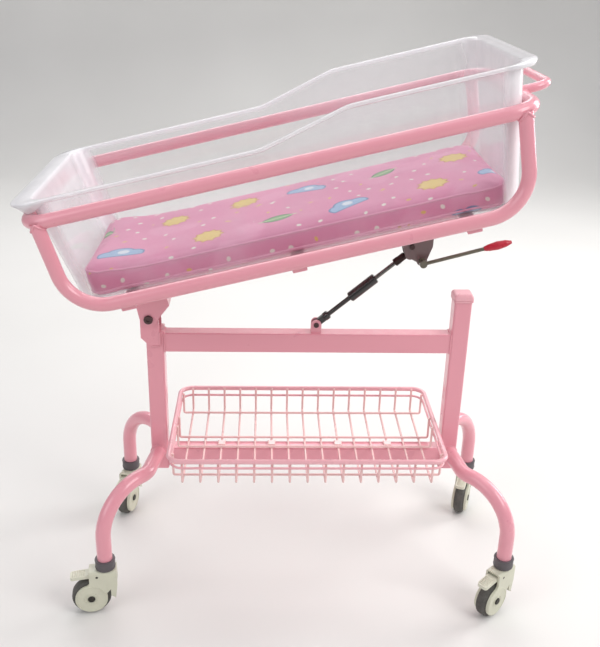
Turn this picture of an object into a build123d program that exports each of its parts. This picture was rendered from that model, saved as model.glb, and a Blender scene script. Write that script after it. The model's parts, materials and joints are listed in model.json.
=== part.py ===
from build123d import *
import os
from math import acos, atan, atan2, ceil, cos, degrees, hypot, pi, radians, sin

os.makedirs("parts", exist_ok=True)

# A tilting hospital bassinet on castors, in millimetres, +Z up.
# X runs from the foot end to the head end, the front side is -Y.
# The cradle's own pieces are drawn level about the tilt bolt and then tipped by tilt_angle.
# At the end everything is shifted so that the origin is the middle of the footprint, on the floor.

# Clearances shared by several pieces
seat_gap = 0.3          # between two bodies that rest on each other
running_gap = 0.06      # radial, between a pin and what turns on it
side_play = 0.5         # along a pin, between two pieces that move
overrun = 5.0           # how far a cutting tool passes the face that it cuts

# Base frame
post_spread = 592.0     # between the centres of the two posts
post_size = 34.0
post_wall = 2.0
post_corner = 4.0
post_foot_level = 222.0
foot_post_top = 532.0
head_post_top = 595.0
bar_height = 40.0
bar_depth = 30.0
bar_wall = 2.0
bar_corner = 3.0
bar_top = 525.5
rail_level = 248.0

# Legs: each runs out from a post, turns outwards and arches down to its castor
leg_diameter = 29.0
leg_wall = 2.0
leg_level = 261.0
stem_spread_x = 780.0
stem_spread_y = 353.0
stem_end = 120.8
knee_out = 16.0
knee_along = 94.0
knee_radius = 40.0
arch_radius = 94.0

# Tilt bolt
pivot_out = 9.0         # outwards from the foot post's centre
pivot_level = 559.0
pivot_radius = 5.0
tilt_angle = 14.0       # the cradle stands tipped by this much, head up

# Cradle ring and hoops, measured from the tilt bolt with the cradle level
ring_foot_reach = 117.0
ring_head_reach = 739.0
ring_width = 422.0
ring_level = 269.0
ring_diameter = 24.0
ring_corner = 45.0
cradle_tube_wall = 1.5
hoop_level = 109.0
hoop_diameter = 24.0
hoop_inset = 21.0
hoop_corner = 72.0
hoop_lean = 9.0
cross_width = 25.0
cross_thickness = 12.0
cross_drop = 6.0        # top of the cross tubes below the hoops' centre line
rail_underside = 52.0
centre_rail_width = 40.0
rest_position = 602.0   # where the head post's cap carries the centre rail

# Tub
tub_wall = 4.0
tub_floor_inset = 22.0
tub_ring_play = 2.0
tub_foot_rim = 34.0     # height of the rim above the ring at the foot end
tub_head_rim = 71.0
tub_corner = 42.0
tub_floor_corner = 34.0
step_start = 397.0      # from the foot end of the ring to the step in the side walls
step_length = 146.0

# Mattress
mattress_thickness = 45.0
mattress_play = 3.0

# Gas spring, measured along its axis from its lower eye
spring_position = 15.0
spring_rise = 16.5      # lower eye above the cross bar
spring_top_along = 508.0
spring_top_above = 9.0
cylinder_start = 84.0
cylinder_end = 146.0
cylinder_diameter = 20.0
spring_rod_diameter = 8.0

# Castors
wheel_diameter = 75.0
wheel_width = 20.0
castor_trail = 30.0
castor_top = 99.5
# Which way each castor has swung round, in degrees
foot_front_angle = 8.0
head_front_angle = 41.0
foot_back_angle = 75.0
head_back_angle = 68.0
castor_angles = {"foot_front": foot_front_angle, "head_front": head_front_angle,
                 "foot_back": foot_back_angle, "head_back": head_back_angle}

# Basket
basket_length = 530.0
basket_depth = 296.0
basket_rim_level = 321.0
rim_wire = 9.5
band_wire = 4.6
mesh_wire = 4.5
cross_wire_pitch = 34.2
basket_corner = 25.0

post_x = post_spread / 2
stem_x = stem_spread_x / 2
stem_y = stem_spread_y / 2
pivot_x = -post_x - pivot_out
ring_y = (ring_width - ring_diameter) / 2
ring_foot = ring_diameter / 2 - ring_foot_reach
ring_head = ring_head_reach - ring_diameter / 2
rail_top = rail_level + bar_height / 2
ring_top = ring_level + ring_diameter / 2
cross_top = hoop_level - cross_drop
rail_deck = cross_top - cross_thickness


def place_cradle(shape):
    """Tip a cradle piece about the tilt bolt."""
    return Pos(pivot_x, 0, pivot_level) * Rot(0, -tilt_angle, 0) * shape


def span(x0, x1, y0, y1, z0, z1):
    """A block between two corners."""
    return Pos((x0 + x1) / 2, (y0 + y1) / 2, (z0 + z1) / 2) * Box(x1 - x0, y1 - y0, z1 - z0)


def rod_between(start, end, radius):
    """A round bar from one point to another."""
    line = Vector(*end) - Vector(*start)
    plane = Plane(origin=start, z_dir=line.normalized())
    return extrude(plane * Circle(radius), line.length)


def pin_y(x, z, y0, y1, radius):
    """A round bar along Y."""
    return rod_between((x, y0, z), (x, y1, z), radius)


def bent_bar(points, radii, radius, wall=0, closed=False):
    """A round bar or tube along straight runs that are joined by arcs."""
    path = FilletPolyline(*points, radius=radii, close=closed)
    section = Circle(radius)
    if wall:
        section = section - Circle(radius - wall)
    return sweep(Plane(origin=path @ 0, z_dir=path % 0) * section, path=path)


def box_tube(length, width, height, wall, corner):
    """A rectangular tube along X, centred on the origin."""
    outer = RectangleRounded(width, height, corner)
    inner = RectangleRounded(width - wall * 2, height - wall * 2, corner / 2)
    return extrude(Plane.YZ * (outer - inner), length / 2, both=True)


def polygon(*points):
    """A filled outline through the points, always wound the same way round."""
    area = sum(a[0] * b[1] - b[0] * a[1] for a, b in zip(points, points[1:] + points[:1]))
    return Polygon(*(points if area > 0 else points[::-1]), align=None)


def plate_xz(outline, y0, y1):
    """A flat plate whose outline lies in X and Z, between two values of Y."""
    return Pos(0, y1, 0) * extrude(Plane.XZ * outline, y1 - y0)


def bolt_and_nut(x, z, y0, y1, radius):
    """A cap-head bolt along Y with its nut; the clamped stack lies between y0 and y1."""
    head = radius * 1.7
    head_height = radius * 0.9
    chamfer_size = radius * 0.2
    socket = radius * 0.8
    cap = pin_y(x, z, y0 - head_height, y0, head)
    cap = chamfer(cap.edges().sort_by(Axis.Y)[0], chamfer_size)
    hexagon = extrude(Plane.XZ * RegularPolygon(socket, 6), head_height / 2)
    cap = cap - Pos(x, y0 - head_height / 2, z) * hexagon
    end = y1 + head_height + chamfer_size * 2
    shank = pin_y(x, z, y0, end, radius)
    shank = chamfer(shank.edges().sort_by(Axis.Y)[-1], chamfer_size)
    nut = Pos(x, y1 + head_height, z) * extrude(Plane.XZ * RegularPolygon(head, 6), head_height)
    nut = nut - pin_y(x, z, y1 - overrun, end + overrun, radius)
    return [cap + shank, nut]


# Base frame

def post(side, top):
    """A square post; side is -1 at the foot end and 1 at the head end."""
    outline = RectangleRounded(post_size, post_size, post_corner)
    inside = post_size - post_wall * 2
    hollow = extrude(RectangleRounded(inside, inside, post_corner / 2), top - post_foot_level - post_wall)
    tube = extrude(outline, top - post_foot_level) - Pos(0, 0, -post_wall) * hollow
    hollow_from_foot = Pos(0, 0, post_wall) * hollow
    solid = extrude(outline, top - post_foot_level)
    return Pos(side * post_x, 0, post_foot_level) * (solid - hollow_from_foot if side > 0 else tube)


def post_block(side, top):
    """The outside of a post, used to trim what meets it."""
    block = extrude(RectangleRounded(post_size, post_size, post_corner), top - post_foot_level)
    return Pos(side * post_x, 0, post_foot_level) * block


def bar_between_posts(level):
    length = post_spread - post_size
    return Pos(0, 0, level) * box_tube(length, bar_depth, bar_height, bar_wall, bar_corner)


def leg(side_x, side_y):
    """One bent tube from a post's face to its castor."""
    points = [
        (side_x * post_x, 0, leg_level),
        (side_x * (post_x + knee_out), side_y * knee_along, leg_level),
        (side_x * stem_x, side_y * stem_y, leg_level),
        (side_x * stem_x, side_y * stem_y, stem_end),
    ]
    tube = bent_bar(points, [knee_radius, arch_radius], leg_diameter / 2, leg_wall)
    return tube - post_block(side_x, foot_post_top)


def head_post_cap():
    """Plastic cap on the head post; the cradle's centre rail lies on it when level."""
    overhang = 2.0
    skirt = 3.0
    crown = 7.0
    top = pivot_level + rail_underside - seat_gap
    plug = post_size - post_wall * 2
    width = post_size + overhang * 2
    height = top - head_post_top
    body = extrude(RectangleRounded(width, width, post_corner), height)
    body = fillet(body.faces().sort_by(Axis.Z)[-1].edges(), crown)
    groove = skirt / 3
    neck = extrude(RectangleRounded(width - groove * 2, width - groove * 2, post_corner), groove)
    ring = extrude(RectangleRounded(width, width, post_corner), groove) - neck
    inner = plug - seat_gap
    plug_body = extrude(RectangleRounded(inner, inner, post_corner / 2), -post_wall)
    return Pos(post_x, 0, head_post_top) * (body + plug_body - Pos(0, 0, skirt) * ring)


bracket_plate = 4.0
bracket_height = 58.0
bracket_half = 17.0
bracket_tail = 19.0


def pivot_brackets():
    """Two plates on the foot post that hold the tilt bolt."""
    x = pivot_x
    z = pivot_level
    inner_edge = x + bracket_tail
    low = z - bracket_height
    outline = Pos(x, z) * Circle(bracket_half)
    outline += polygon(
        (x - bracket_half, z), (x + bracket_half, z), (inner_edge, z - bracket_half),
        (inner_edge, low), (x, low), (x - bracket_half, low + bracket_half))
    plates = []
    for side in (-1, 1):
        faces = sorted((side * post_size / 2, side * (post_size / 2 + bracket_plate)))
        plate = plate_xz(outline, *faces)
        plates.append(plate - pin_y(x, z, -post_size, post_size, pivot_radius))
    return plates


washer_thickness = 1.5
lug_plate = 4.0
lug_inner = post_size / 2 + bracket_plate + washer_thickness + side_play / 2


def pivot_bolt():
    """Tilt bolt with its nut, two washers and the spacer between the plates."""
    lug_outer = lug_inner + lug_plate + side_play / 2
    pieces = bolt_and_nut(pivot_x, pivot_level, -lug_outer, lug_outer, pivot_radius)
    for side in (-1, 1):
        face = post_size / 2 + bracket_plate
        ends = sorted((side * face, side * (face + washer_thickness)))
        washer = pin_y(pivot_x, pivot_level, *ends, pivot_radius * 2)
        pieces.append(washer - pin_y(pivot_x, pivot_level, -post_size, post_size, pivot_radius))
    spacer = pin_y(pivot_x, pivot_level, -post_size / 2, post_size / 2, pivot_radius * 1.6)
    pieces.append(spacer - pin_y(pivot_x, pivot_level, -post_size, post_size, pivot_radius))
    return pieces


spring_bolt_radius = 3.0
eye_width = 9.0
spring_lug_plate = 3.0
spring_lug_half = 10.0


def spring_lug():
    """Small channel on the cross bar that holds the gas spring's lower eye."""
    x = spring_position
    z = bar_top + spring_rise
    inner = eye_width / 2 + side_play
    outline = Pos(x, z) * Circle(spring_lug_half)
    outline += Pos(x, (z + bar_top) / 2) * Rectangle(spring_lug_half * 2, spring_rise)
    outline -= Pos(x, bar_top - spring_lug_half) * Rectangle(spring_lug_half * 3, spring_lug_half * 2)
    block = plate_xz(outline, -inner - spring_lug_plate, inner + spring_lug_plate)
    slot_base = bar_top + spring_lug_plate / 2
    slot = span(x - spring_lug_half * 2, x + spring_lug_half * 2, -inner, inner, slot_base, z + spring_lug_half * 2)
    return block - slot - pin_y(x, z, -bar_depth, bar_depth, spring_bolt_radius)


def spring_lower_bolt():
    half = eye_width / 2 + side_play + spring_lug_plate
    return bolt_and_nut(spring_position, bar_top + spring_rise, -half, half, spring_bolt_radius)


# Castors, drawn with the stem on the Z axis and the wheel trailing towards -X

collar_radius = 19.0
kingpin_radius = 5.5
collar_spigot = 24.0
cheek_thickness = 4.5
wheel_play = 1.5
cheek_inner = wheel_width / 2 + wheel_play
cheek_outer = cheek_inner + cheek_thickness
cheek_radius = 31.0
axle_radius = 4.0
axle_level = wheel_diameter / 2
tyre_depth = 10.0
fork_top = castor_top - seat_gap
fork_crown = 26.0
pedal_setback = 17.0
pedal_pivot_x = -pedal_setback
pedal_pivot_z = 88.0
pedal_pin_radius = 2.5


def stem_collars():
    """Plastic collars that plug the four leg tubes and carry the castors' kingpins."""
    collars = []
    for side_x in (-1, 1):
        for side_y in (-1, 1):
            collar = extrude(Circle(collar_radius), stem_end - castor_top)
            collar = fillet(collar.edges().sort_by(Axis.Z)[0], cheek_thickness / 2)
            spigot_radius = leg_diameter / 2 - leg_wall
            collar += Pos(0, 0, stem_end - castor_top) * extrude(Circle(spigot_radius), collar_spigot)
            bore = extrude(Circle(kingpin_radius + running_gap), stem_end - castor_top + collar_spigot / 2)
            collar = collar - bore
            collars.append(Pos(side_x * stem_x, side_y * stem_y, castor_top) * collar)
    return collars


def kingpin():
    """Steel pin that stands in the fork and turns in the collar."""
    height = stem_end - castor_top + collar_spigot / 3
    pin = Pos(0, 0, fork_top) * extrude(Circle(kingpin_radius), height)
    return chamfer(pin.edges().sort_by(Axis.Z)[-1], kingpin_radius / 5)


def fork_outline():
    """Side view of a cheek: a disc round the axle, the crown and a short tail behind."""
    crown_reach = 32.0
    crown_front = -crown_reach
    crown_back = 21.0
    tail_foot = 36.0
    tail_root = 66.0
    tail_width = 13.0
    lower_crown = fork_top - fork_crown
    disc = Pos(-castor_trail, axle_level) * Circle(cheek_radius)
    neck = polygon(
        (-castor_trail - cheek_radius, axle_level), (crown_front, lower_crown), (crown_front, fork_top),
        (crown_back, fork_top), (crown_back, lower_crown), (0, axle_level + cheek_radius / 3))
    tail = polygon(
        (crown_back, tail_root + tail_width), (crown_back, tail_root), (crown_back - tail_width / 3, tail_foot),
        (crown_back - tail_width, tail_foot + tail_width / 2), (crown_back - tail_width, tail_root + tail_width))
    return disc + neck + tail


def fork():
    """Plastic fork: a crown and two round cheeks over the wheel."""
    tyre_play = 3.0
    roof_edge = 2.0
    shoulder = 5.0
    envelope = span(-wheel_diameter, wheel_diameter, -cheek_outer, cheek_outer, -overrun, fork_top)
    envelope = fillet(envelope.edges().filter_by(Axis.X).sort_by(Axis.Z)[-2:], shoulder)
    shell = plate_xz(fork_outline(), -cheek_outer, cheek_outer) & envelope
    roof = wheel_diameter + tyre_play
    pocket = span(-wheel_diameter * 1.2, wheel_diameter, -cheek_inner, cheek_inner, -overrun, roof)
    pedal_bay = span(-wheel_diameter, pedal_pivot_x + pedal_pin_radius * 4, -cheek_inner, cheek_inner,
                     roof - roof_edge, fork_top - roof_edge * 1.5)
    body = shell - pocket - pedal_bay
    body = body - pin_y(-castor_trail, axle_level, -wheel_diameter, wheel_diameter, axle_radius)
    return body - pin_y(pedal_pivot_x, pedal_pivot_z, -wheel_diameter, wheel_diameter, pedal_pin_radius)


def axle():
    """Wheel axle with a domed head on each side, and the pedal's pin."""
    head_radius = 7.0
    head_height = 2.2
    bar = pin_y(-castor_trail, axle_level, -cheek_outer, cheek_outer, axle_radius)
    for side in (-1, 1):
        ends = sorted((side * cheek_outer, side * (cheek_outer + head_height)))
        head = pin_y(-castor_trail, axle_level, *ends, head_radius)
        outer = head.edges().sort_by(Axis.Y)[0 if side < 0 else -1]
        bar += chamfer(outer, head_height / 2)
    pedal_pin = pin_y(pedal_pivot_x, pedal_pivot_z, -cheek_outer, cheek_outer, pedal_pin_radius)
    return [bar, pedal_pin]


def wheel_hub():
    rim = wheel_diameter / 2 - tyre_depth
    recess = 4.0
    boss = axle_radius * 2.2
    hub = pin_y(-castor_trail, axle_level, -wheel_width / 2, wheel_width / 2, rim)
    for side in (-1, 1):
        ends = sorted((side * (wheel_width / 2 - recess), side * (wheel_width / 2 + overrun)))
        well = pin_y(-castor_trail, axle_level, *ends, rim - recess)
        hub = hub - (well - pin_y(-castor_trail, axle_level, -wheel_width, wheel_width, boss))
    return hub - pin_y(-castor_trail, axle_level, -wheel_width, wheel_width, axle_radius + running_gap)


def tyre():
    shoulder = 5.0
    ring = pin_y(-castor_trail, axle_level, -wheel_width / 2, wheel_width / 2, wheel_diameter / 2)
    ring = fillet(ring.edges().filter_by(GeomType.CIRCLE), shoulder)
    return ring - pin_y(-castor_trail, axle_level, -wheel_width, wheel_width, wheel_diameter / 2 - tyre_depth)


def brake_pedal():
    """Foot pedal that locks the wheel; it turns on a pin in the fork's crown."""
    tongue_reach = 68.0
    tongue_tip = -tongue_reach
    tongue_droop = 7.0
    tongue_height = 13.0
    tip_radius = 6.0
    hub_radius = 6.0
    half = cheek_inner - side_play
    bottom = pedal_pivot_z - tongue_height / 2
    top = pedal_pivot_z + tongue_height / 2
    root = pedal_pivot_x - hub_radius
    outline = polygon((root, bottom + tip_radius / 2), (tongue_tip, bottom + tip_radius - tongue_droop),
                      (tongue_tip, top - tongue_droop), (root, top - tip_radius / 2))
    outline += Pos(pedal_pivot_x, pedal_pivot_z) * Circle(hub_radius)
    outline += polygon((root, bottom + tip_radius / 2), (pedal_pivot_x, pedal_pivot_z - hub_radius),
                       (pedal_pivot_x, pedal_pivot_z + hub_radius), (root, top - tip_radius / 2))
    body = plate_xz(outline, -half, half)
    tip_edges = body.edges().filter_by(Axis.Z).sort_by(Axis.X)[:2]
    body = fillet(tip_edges, tip_radius)
    bore = pin_y(pedal_pivot_x, pedal_pivot_z, -half - overrun, half + overrun, pedal_pin_radius + running_gap)
    return body - bore


# Basket

def wire_loop(half_x, half_y, level, radius):
    corners = [(-half_x, -half_y, level), (half_x, -half_y, level), (half_x, half_y, level),
               (-half_x, half_y, level)]
    start = (0, -half_y, level)
    points = [start, corners[1], corners[2], corners[3], corners[0]]
    path = FilletPolyline(*points, radius=[0, *[basket_corner] * 4], close=True)
    return sweep(Plane(origin=path @ 0, z_dir=path % 0) * Circle(radius), path=path)


mesh_half_y = basket_depth / 2 - rim_wire / 2 - mesh_wire / 2
mesh_half_x = basket_length / 2 - rim_wire / 2 - mesh_wire / 2
mesh_floor = rail_top + mesh_wire / 2
mesh_bend = 4.0


def basket_rim():
    """Thick top wire and the thinner band wire below it, both outside the mesh."""
    band_drop = 16.0
    outset = (rim_wire - band_wire) / 2
    rim = wire_loop(basket_length / 2, basket_depth / 2, basket_rim_level, rim_wire / 2)
    band = wire_loop(basket_length / 2 - outset, basket_depth / 2 - outset, basket_rim_level - band_drop,
                     band_wire / 2)
    return [rim, band]


def mesh_u(start, low_start, low_end, end):
    return bent_bar([start, low_start, low_end, end], [mesh_bend, mesh_bend], mesh_wire / 2)


def cross_wire_places():
    count = int((basket_length - basket_corner * 2) / cross_wire_pitch) + 1
    first = -(count - 1) * cross_wire_pitch / 2
    return [first + index * cross_wire_pitch for index in range(count)]


def cross_wires():
    """Wires that go down the front wall, under the load and up the back wall."""
    wires = []
    for x in cross_wire_places():
        wires.append(mesh_u((x, -mesh_half_y, basket_rim_level), (x, -mesh_half_y, mesh_floor),
                            (x, mesh_half_y, mesh_floor), (x, mesh_half_y, basket_rim_level)))
    return wires


def long_wires():
    """Wires along the basket, on top of the cross wires, that also form the end walls."""
    place_shares = [-0.98, -0.15, 0.15, 0.98]
    level = mesh_floor + mesh_wire
    wires = []
    for share in place_shares:
        y = share * (basket_depth / 2 - basket_corner)
        wires.append(mesh_u((-mesh_half_x, y, basket_rim_level), (-mesh_half_x, y, level),
                            (mesh_half_x, y, level), (mesh_half_x, y, basket_rim_level)))
    return wires


def basket_clips():
    """Saddles that hold four cross wires down on the lower rail."""
    clip_length = 16.0
    clip_depth = 18.0
    clip_height = 6.0
    places = cross_wire_places()
    clips = []
    for x in sorted({places[2], places[5], places[-6], places[-3]}):
        clip = span(x - clip_length / 2, x + clip_length / 2, -clip_depth / 2, clip_depth / 2,
                    rail_top, rail_top + clip_height)
        clip = chamfer(clip.faces().sort_by(Axis.Z)[-1].edges(), mesh_wire / 3)
        groove = pin_y(x, mesh_floor, -clip_depth, clip_depth, mesh_wire / 2)
        channel = span(x - mesh_wire / 2, x + mesh_wire / 2, -clip_depth, clip_depth, rail_top - overrun, mesh_floor)
        clips.append(clip - groove - channel)
    return clips


# Cradle, drawn level with the tilt bolt on the Y axis

def ring_loop(radius, wall=0):
    """The ring's closed tube, started in the middle of its front side."""
    middle = ((ring_foot + ring_head) / 2, -ring_y, ring_level)
    points = [middle, (ring_head, -ring_y, ring_level), (ring_head, ring_y, ring_level),
              (ring_foot, ring_y, ring_level), (ring_foot, -ring_y, ring_level)]
    path = FilletPolyline(*points, radius=[0, *[ring_corner] * 4], close=True)
    section = Circle(radius)
    if wall:
        section = section - Circle(radius - wall)
    return sweep(Plane(origin=path @ 0, z_dir=path % 0) * section, path=path)


def hoop(side, wall=cradle_tube_wall):
    """A side hoop: down from the ring, along under the tub and up again."""
    foot = ring_foot + hoop_inset
    head = ring_head - hoop_inset
    y = side * ring_y
    points = [(foot, y, ring_level), (foot + hoop_lean, y, hoop_level), (head - hoop_lean, y, hoop_level),
              (head, y, ring_level)]
    return bent_bar(points, [hoop_corner, hoop_corner], hoop_diameter / 2, wall)


def cross_positions():
    foot = ring_foot + hoop_inset + hoop_corner * 1.4
    return [foot, (foot + rest_position) / 2, rest_position]


def cross_tubes():
    """Flat tubes between the two hoops; the tub's floor lies on them."""
    tubes = []
    cutters = hoop(-1, 0) + hoop(1, 0)
    flat = Rot(0, 0, 90) * box_tube(ring_y * 2, cross_width, cross_thickness, cradle_tube_wall, bar_corner)
    for x in cross_positions():
        tubes.append(Pos(x, 0, (rail_deck + cross_top) / 2) * flat - cutters)
    return tubes


rail_foot_margin = 14.0
rail_foot_end = -rail_foot_margin
rail_head_margin = 24.0


def centre_rail():
    """Box rail under the cross tubes; it carries the lug, the spring bracket and the rest."""
    head_end = rest_position + rail_head_margin
    height = rail_deck - rail_underside
    tube = box_tube(head_end - rail_foot_end, centre_rail_width, height, bar_wall, bar_corner)
    return Pos((rail_foot_end + head_end) / 2, 0, (rail_deck + rail_underside) / 2) * tube


def tilt_lug():
    """Folded channel under the centre rail that turns on the tilt bolt."""
    eye = 16.0
    back = 46.0
    web_foot = 14.0
    outer_y = lug_inner + lug_plate
    front = rail_foot_end
    side_view = polygon((front, rail_underside), (back, rail_underside), (back, web_foot + lug_plate),
                        (eye, -eye / 3), (-eye, 0)) + Circle(eye)
    block = plate_xz(side_view, -outer_y, outer_y)
    inside = plate_xz(
        polygon((-back, rail_underside - lug_plate), (back - lug_plate, rail_underside - lug_plate),
                (back - lug_plate, web_foot), (back + overrun, web_foot), (back + overrun, -back),
                (-back, -back)),
        -lug_inner, lug_inner)
    bore = pin_y(0, 0, -outer_y - overrun, outer_y + overrun, pivot_radius + running_gap)
    return block - inside - bore


handle_reach = 50.0
handle_half = 95.0
handle_lift = 10.0
handle_diameter = 15.0
handle_corner = 28.0
handle_level = ring_level + handle_lift


def push_handle():
    """U-shaped bar at the head end, welded to the ring."""
    points = [(ring_head, -handle_half, handle_level), (ring_head + handle_reach, -handle_half, handle_level),
              (ring_head + handle_reach, handle_half, handle_level), (ring_head, handle_half, handle_level)]
    bar = bent_bar(points, [handle_corner, handle_corner], handle_diameter / 2, cradle_tube_wall)
    return bar - ring_loop(ring_diameter / 2)


lever_x = 527.0
lever_below = 8.0
lever_z = -lever_below
lever_shaft_radius = 4.0
bracket_inner = 12.0
spring_bracket_plate = 4.0


def spring_bracket():
    """Two steel cheeks under the centre rail, joined by a base plate."""
    outer = bracket_inner + spring_bracket_plate
    nose = 10.0
    foot_side = spring_top_along - nose
    head_side = 562.0
    outline = polygon(
        (foot_side, rail_underside), (head_side, rail_underside), (head_side - nose, nose + nose / 2),
        (lever_x + nose, lever_z), (lever_x - nose, lever_z), (foot_side, spring_top_above))
    outline += Pos(lever_x, lever_z) * Circle(nose)
    outline += Pos(spring_top_along, spring_top_above) * Circle(nose)
    block = plate_xz(outline, -outer, outer)
    room = span(foot_side - nose * 2, head_side + nose, -bracket_inner, bracket_inner,
                lever_z - nose * 2, rail_underside - spring_bracket_plate)
    block = block - room - pin_y(lever_x, lever_z, -outer * 2, outer * 2, lever_shaft_radius + running_gap)
    return block - pin_y(upper_pin_x, upper_pin_z, -outer * 2, outer * 2, spring_bolt_radius)


bracket_bolt_ahead = 6.0
bracket_bolt_above = 14.0
upper_pin_x = spring_top_along + bracket_bolt_ahead
upper_pin_z = spring_top_above + bracket_bolt_above


def bracket_pin():
    """Bolt that holds the two cheeks of the spring bracket together."""
    outer = bracket_inner + spring_bracket_plate
    return bolt_and_nut(upper_pin_x, upper_pin_z, -outer, outer, spring_bolt_radius)


# Release lever

lever_out = 34.0
lever_plane = -lever_out
lever_length = 114.0
lever_angle = 1.8       # degrees above the cradle's own level
lever_bar_radius = 3.5
grip_length = 52.0
grip_radius = 8.0


def place_lever(shape):
    """Put a piece drawn about the shaft, with the arm along +X, into the spring bracket."""
    return Pos(lever_x, 0, lever_z) * Rot(0, -lever_angle, 0) * shape


def release_lever():
    """Cross shaft in the spring bracket, with a finger inside and a long arm outside."""
    shaft_end = bracket_inner + spring_bracket_plate + lever_bar_radius
    outer = lever_plane - lever_bar_radius
    shaft = pin_y(0, 0, outer, shaft_end, lever_shaft_radius)
    hub = pin_y(0, 0, outer, lever_plane + lever_bar_radius, lever_shaft_radius * 1.8)
    collar_face = -bracket_inner - spring_bracket_plate - side_play
    collar = pin_y(0, 0, collar_face - lever_bar_radius, collar_face, lever_shaft_radius * 1.6)
    arm = rod_between((0, lever_plane, 0), (lever_length, lever_plane, 0), lever_bar_radius)
    stub = rod_between((lever_length, lever_plane, 0), (lever_length + grip_length / 2, lever_plane, 0),
                       lever_bar_radius / 2)
    finger = rod_between((0, 0, 0), (-lever_shaft_radius, 0, lever_shaft_radius * 3), lever_bar_radius * 0.7)
    return place_lever(shaft + hub + collar + arm + stub + finger)


def lever_grip():
    """Teardrop grip on the end of the lever."""
    station_shares = [0.0, 0.18, 0.5, 0.8, 1.0]
    width_shares = [0.5, 0.8, 1.0, 0.8, 0.35]
    points = [(grip_length * s, grip_radius * w) for s, w in zip(station_shares, width_shares)]
    side = Polyline(*points)
    closing = Polyline(points[-1], (grip_length, 0), (0, 0), points[0])
    solid = revolve(Plane.XY * make_face(side + closing), Axis.X)
    outer = solid.edges().filter_by(GeomType.CIRCLE).sort_by(Axis.X)
    solid = fillet(outer[1:4], grip_radius / 2)
    hole = rod_between((0, 0, 0), (grip_length / 2, 0, 0), lever_bar_radius / 2)
    return place_lever(Pos(lever_length, lever_plane, 0) * (solid - hole))


# Gas spring, drawn along +X from its lower eye

upper_x = pivot_x + spring_top_along * cos(radians(tilt_angle)) - spring_top_above * sin(radians(tilt_angle))
upper_z = pivot_level + spring_top_along * sin(radians(tilt_angle)) + spring_top_above * cos(radians(tilt_angle))
level_x = pivot_x + spring_top_along
level_z = pivot_level + spring_top_above
lower_z = bar_top + spring_rise
spring_angle = degrees(atan2(upper_z - lower_z, upper_x - spring_position))
level_angle = degrees(atan2(level_z - lower_z, level_x - spring_position))
spring_length = hypot(upper_z - lower_z, upper_x - spring_position)
spring_stroke = spring_length - hypot(level_z - lower_z, level_x - spring_position)
gland_length = 8.0
cylinder_wall = 1.5
eye_radius = 8.0


def place_spring(shape):
    return Pos(spring_position, 0, lower_z) * Rot(0, -spring_angle, 0) * shape


def spring_cylinder():
    """Lower eye with its locking knob, extension rod and the cylinder itself."""
    stem_radius = 4.5
    knob_radius = 8.5
    knob_length = 11.0
    eye = pin_y(0, 0, -eye_width / 2, eye_width / 2, eye_radius)
    block_end = 20.0
    block = span(0, block_end, -eye_width / 2, eye_width / 2, -eye_radius * 0.8, eye_radius * 0.8)
    knob = rod_between((block_end, 0, 0), (block_end + knob_length, 0, 0), knob_radius)
    knob = chamfer(knob.edges().filter_by(GeomType.CIRCLE), knob_radius / 6)
    stem = rod_between((block_end, 0, 0), (cylinder_start, 0, 0), stem_radius)
    barrel = rod_between((cylinder_start, 0, 0), (cylinder_end - gland_length, 0, 0), cylinder_diameter / 2)
    base_edge = barrel.edges().filter_by(GeomType.CIRCLE).sort_by(Axis.X)[0]
    barrel = chamfer(base_edge, cylinder_wall)
    bore = rod_between((cylinder_start + cylinder_wall * 2, 0, 0), (cylinder_end, 0, 0),
                       cylinder_diameter / 2 - cylinder_wall)
    body = eye + block + knob + stem + (barrel - bore)
    return body - pin_y(0, 0, -eye_width, eye_width, spring_bolt_radius + running_gap)


def spring_gland():
    """End plug of the cylinder that guides the rod."""
    start = cylinder_end - gland_length
    plug = rod_between((start, 0, 0), (cylinder_end, 0, 0), cylinder_diameter / 2)
    plug = chamfer(plug.edges().filter_by(GeomType.CIRCLE).sort_by(Axis.X)[-1], cylinder_wall)
    return plug - rod_between((start - overrun, 0, 0), (cylinder_end + overrun, 0, 0),
                              spring_rod_diameter / 2 + running_gap)


rod_end_gap = 9.0
rod_head_length = 15.0
rod_nut_length = 10.0
rod_nut_end = spring_length - rod_end_gap - rod_head_length
rod_nut_start = rod_nut_end - rod_nut_length
rod_inside = 14.0


def spring_rod():
    """Polished rod with its piston head."""
    inner = cylinder_end - gland_length - rod_inside
    rod = rod_between((inner, 0, 0), (rod_nut_end, 0, 0), spring_rod_diameter / 2)
    piston_length = 6.0
    piston = rod_between((inner, 0, 0), (inner + piston_length, 0, 0),
                         cylinder_diameter / 2 - cylinder_wall - running_gap)
    return rod + piston


def rod_end():
    """Lock nut and release head on the end of the rod."""
    head_radius = 7.0
    nut_plane = Plane(origin=(rod_nut_start, 0, 0), z_dir=(1, 0, 0))
    nut = extrude(nut_plane * RegularPolygon(head_radius * 1.15, 6), rod_nut_length)
    head = rod_between((rod_nut_end, 0, 0), (spring_length - rod_end_gap, 0, 0), head_radius)
    head = chamfer(head.edges().filter_by(GeomType.CIRCLE).sort_by(Axis.X)[-1], head_radius / 4)
    rod = rod_between((rod_nut_start - overrun, 0, 0), (rod_nut_end, 0, 0), spring_rod_diameter / 2)
    return nut + head - rod


# Tub and mattress, drawn level with the cradle

tub_floor = cross_top + seat_gap
tub_wide_y = ring_y - ring_diameter / 2 - tub_ring_play
tub_foot = ring_foot + ring_diameter / 2 + tub_ring_play
tub_head = ring_head - ring_diameter / 2 - tub_ring_play
tub_head_top = ring_level + tub_head_rim
tub_foot_top = ring_level + tub_foot_rim


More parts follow.
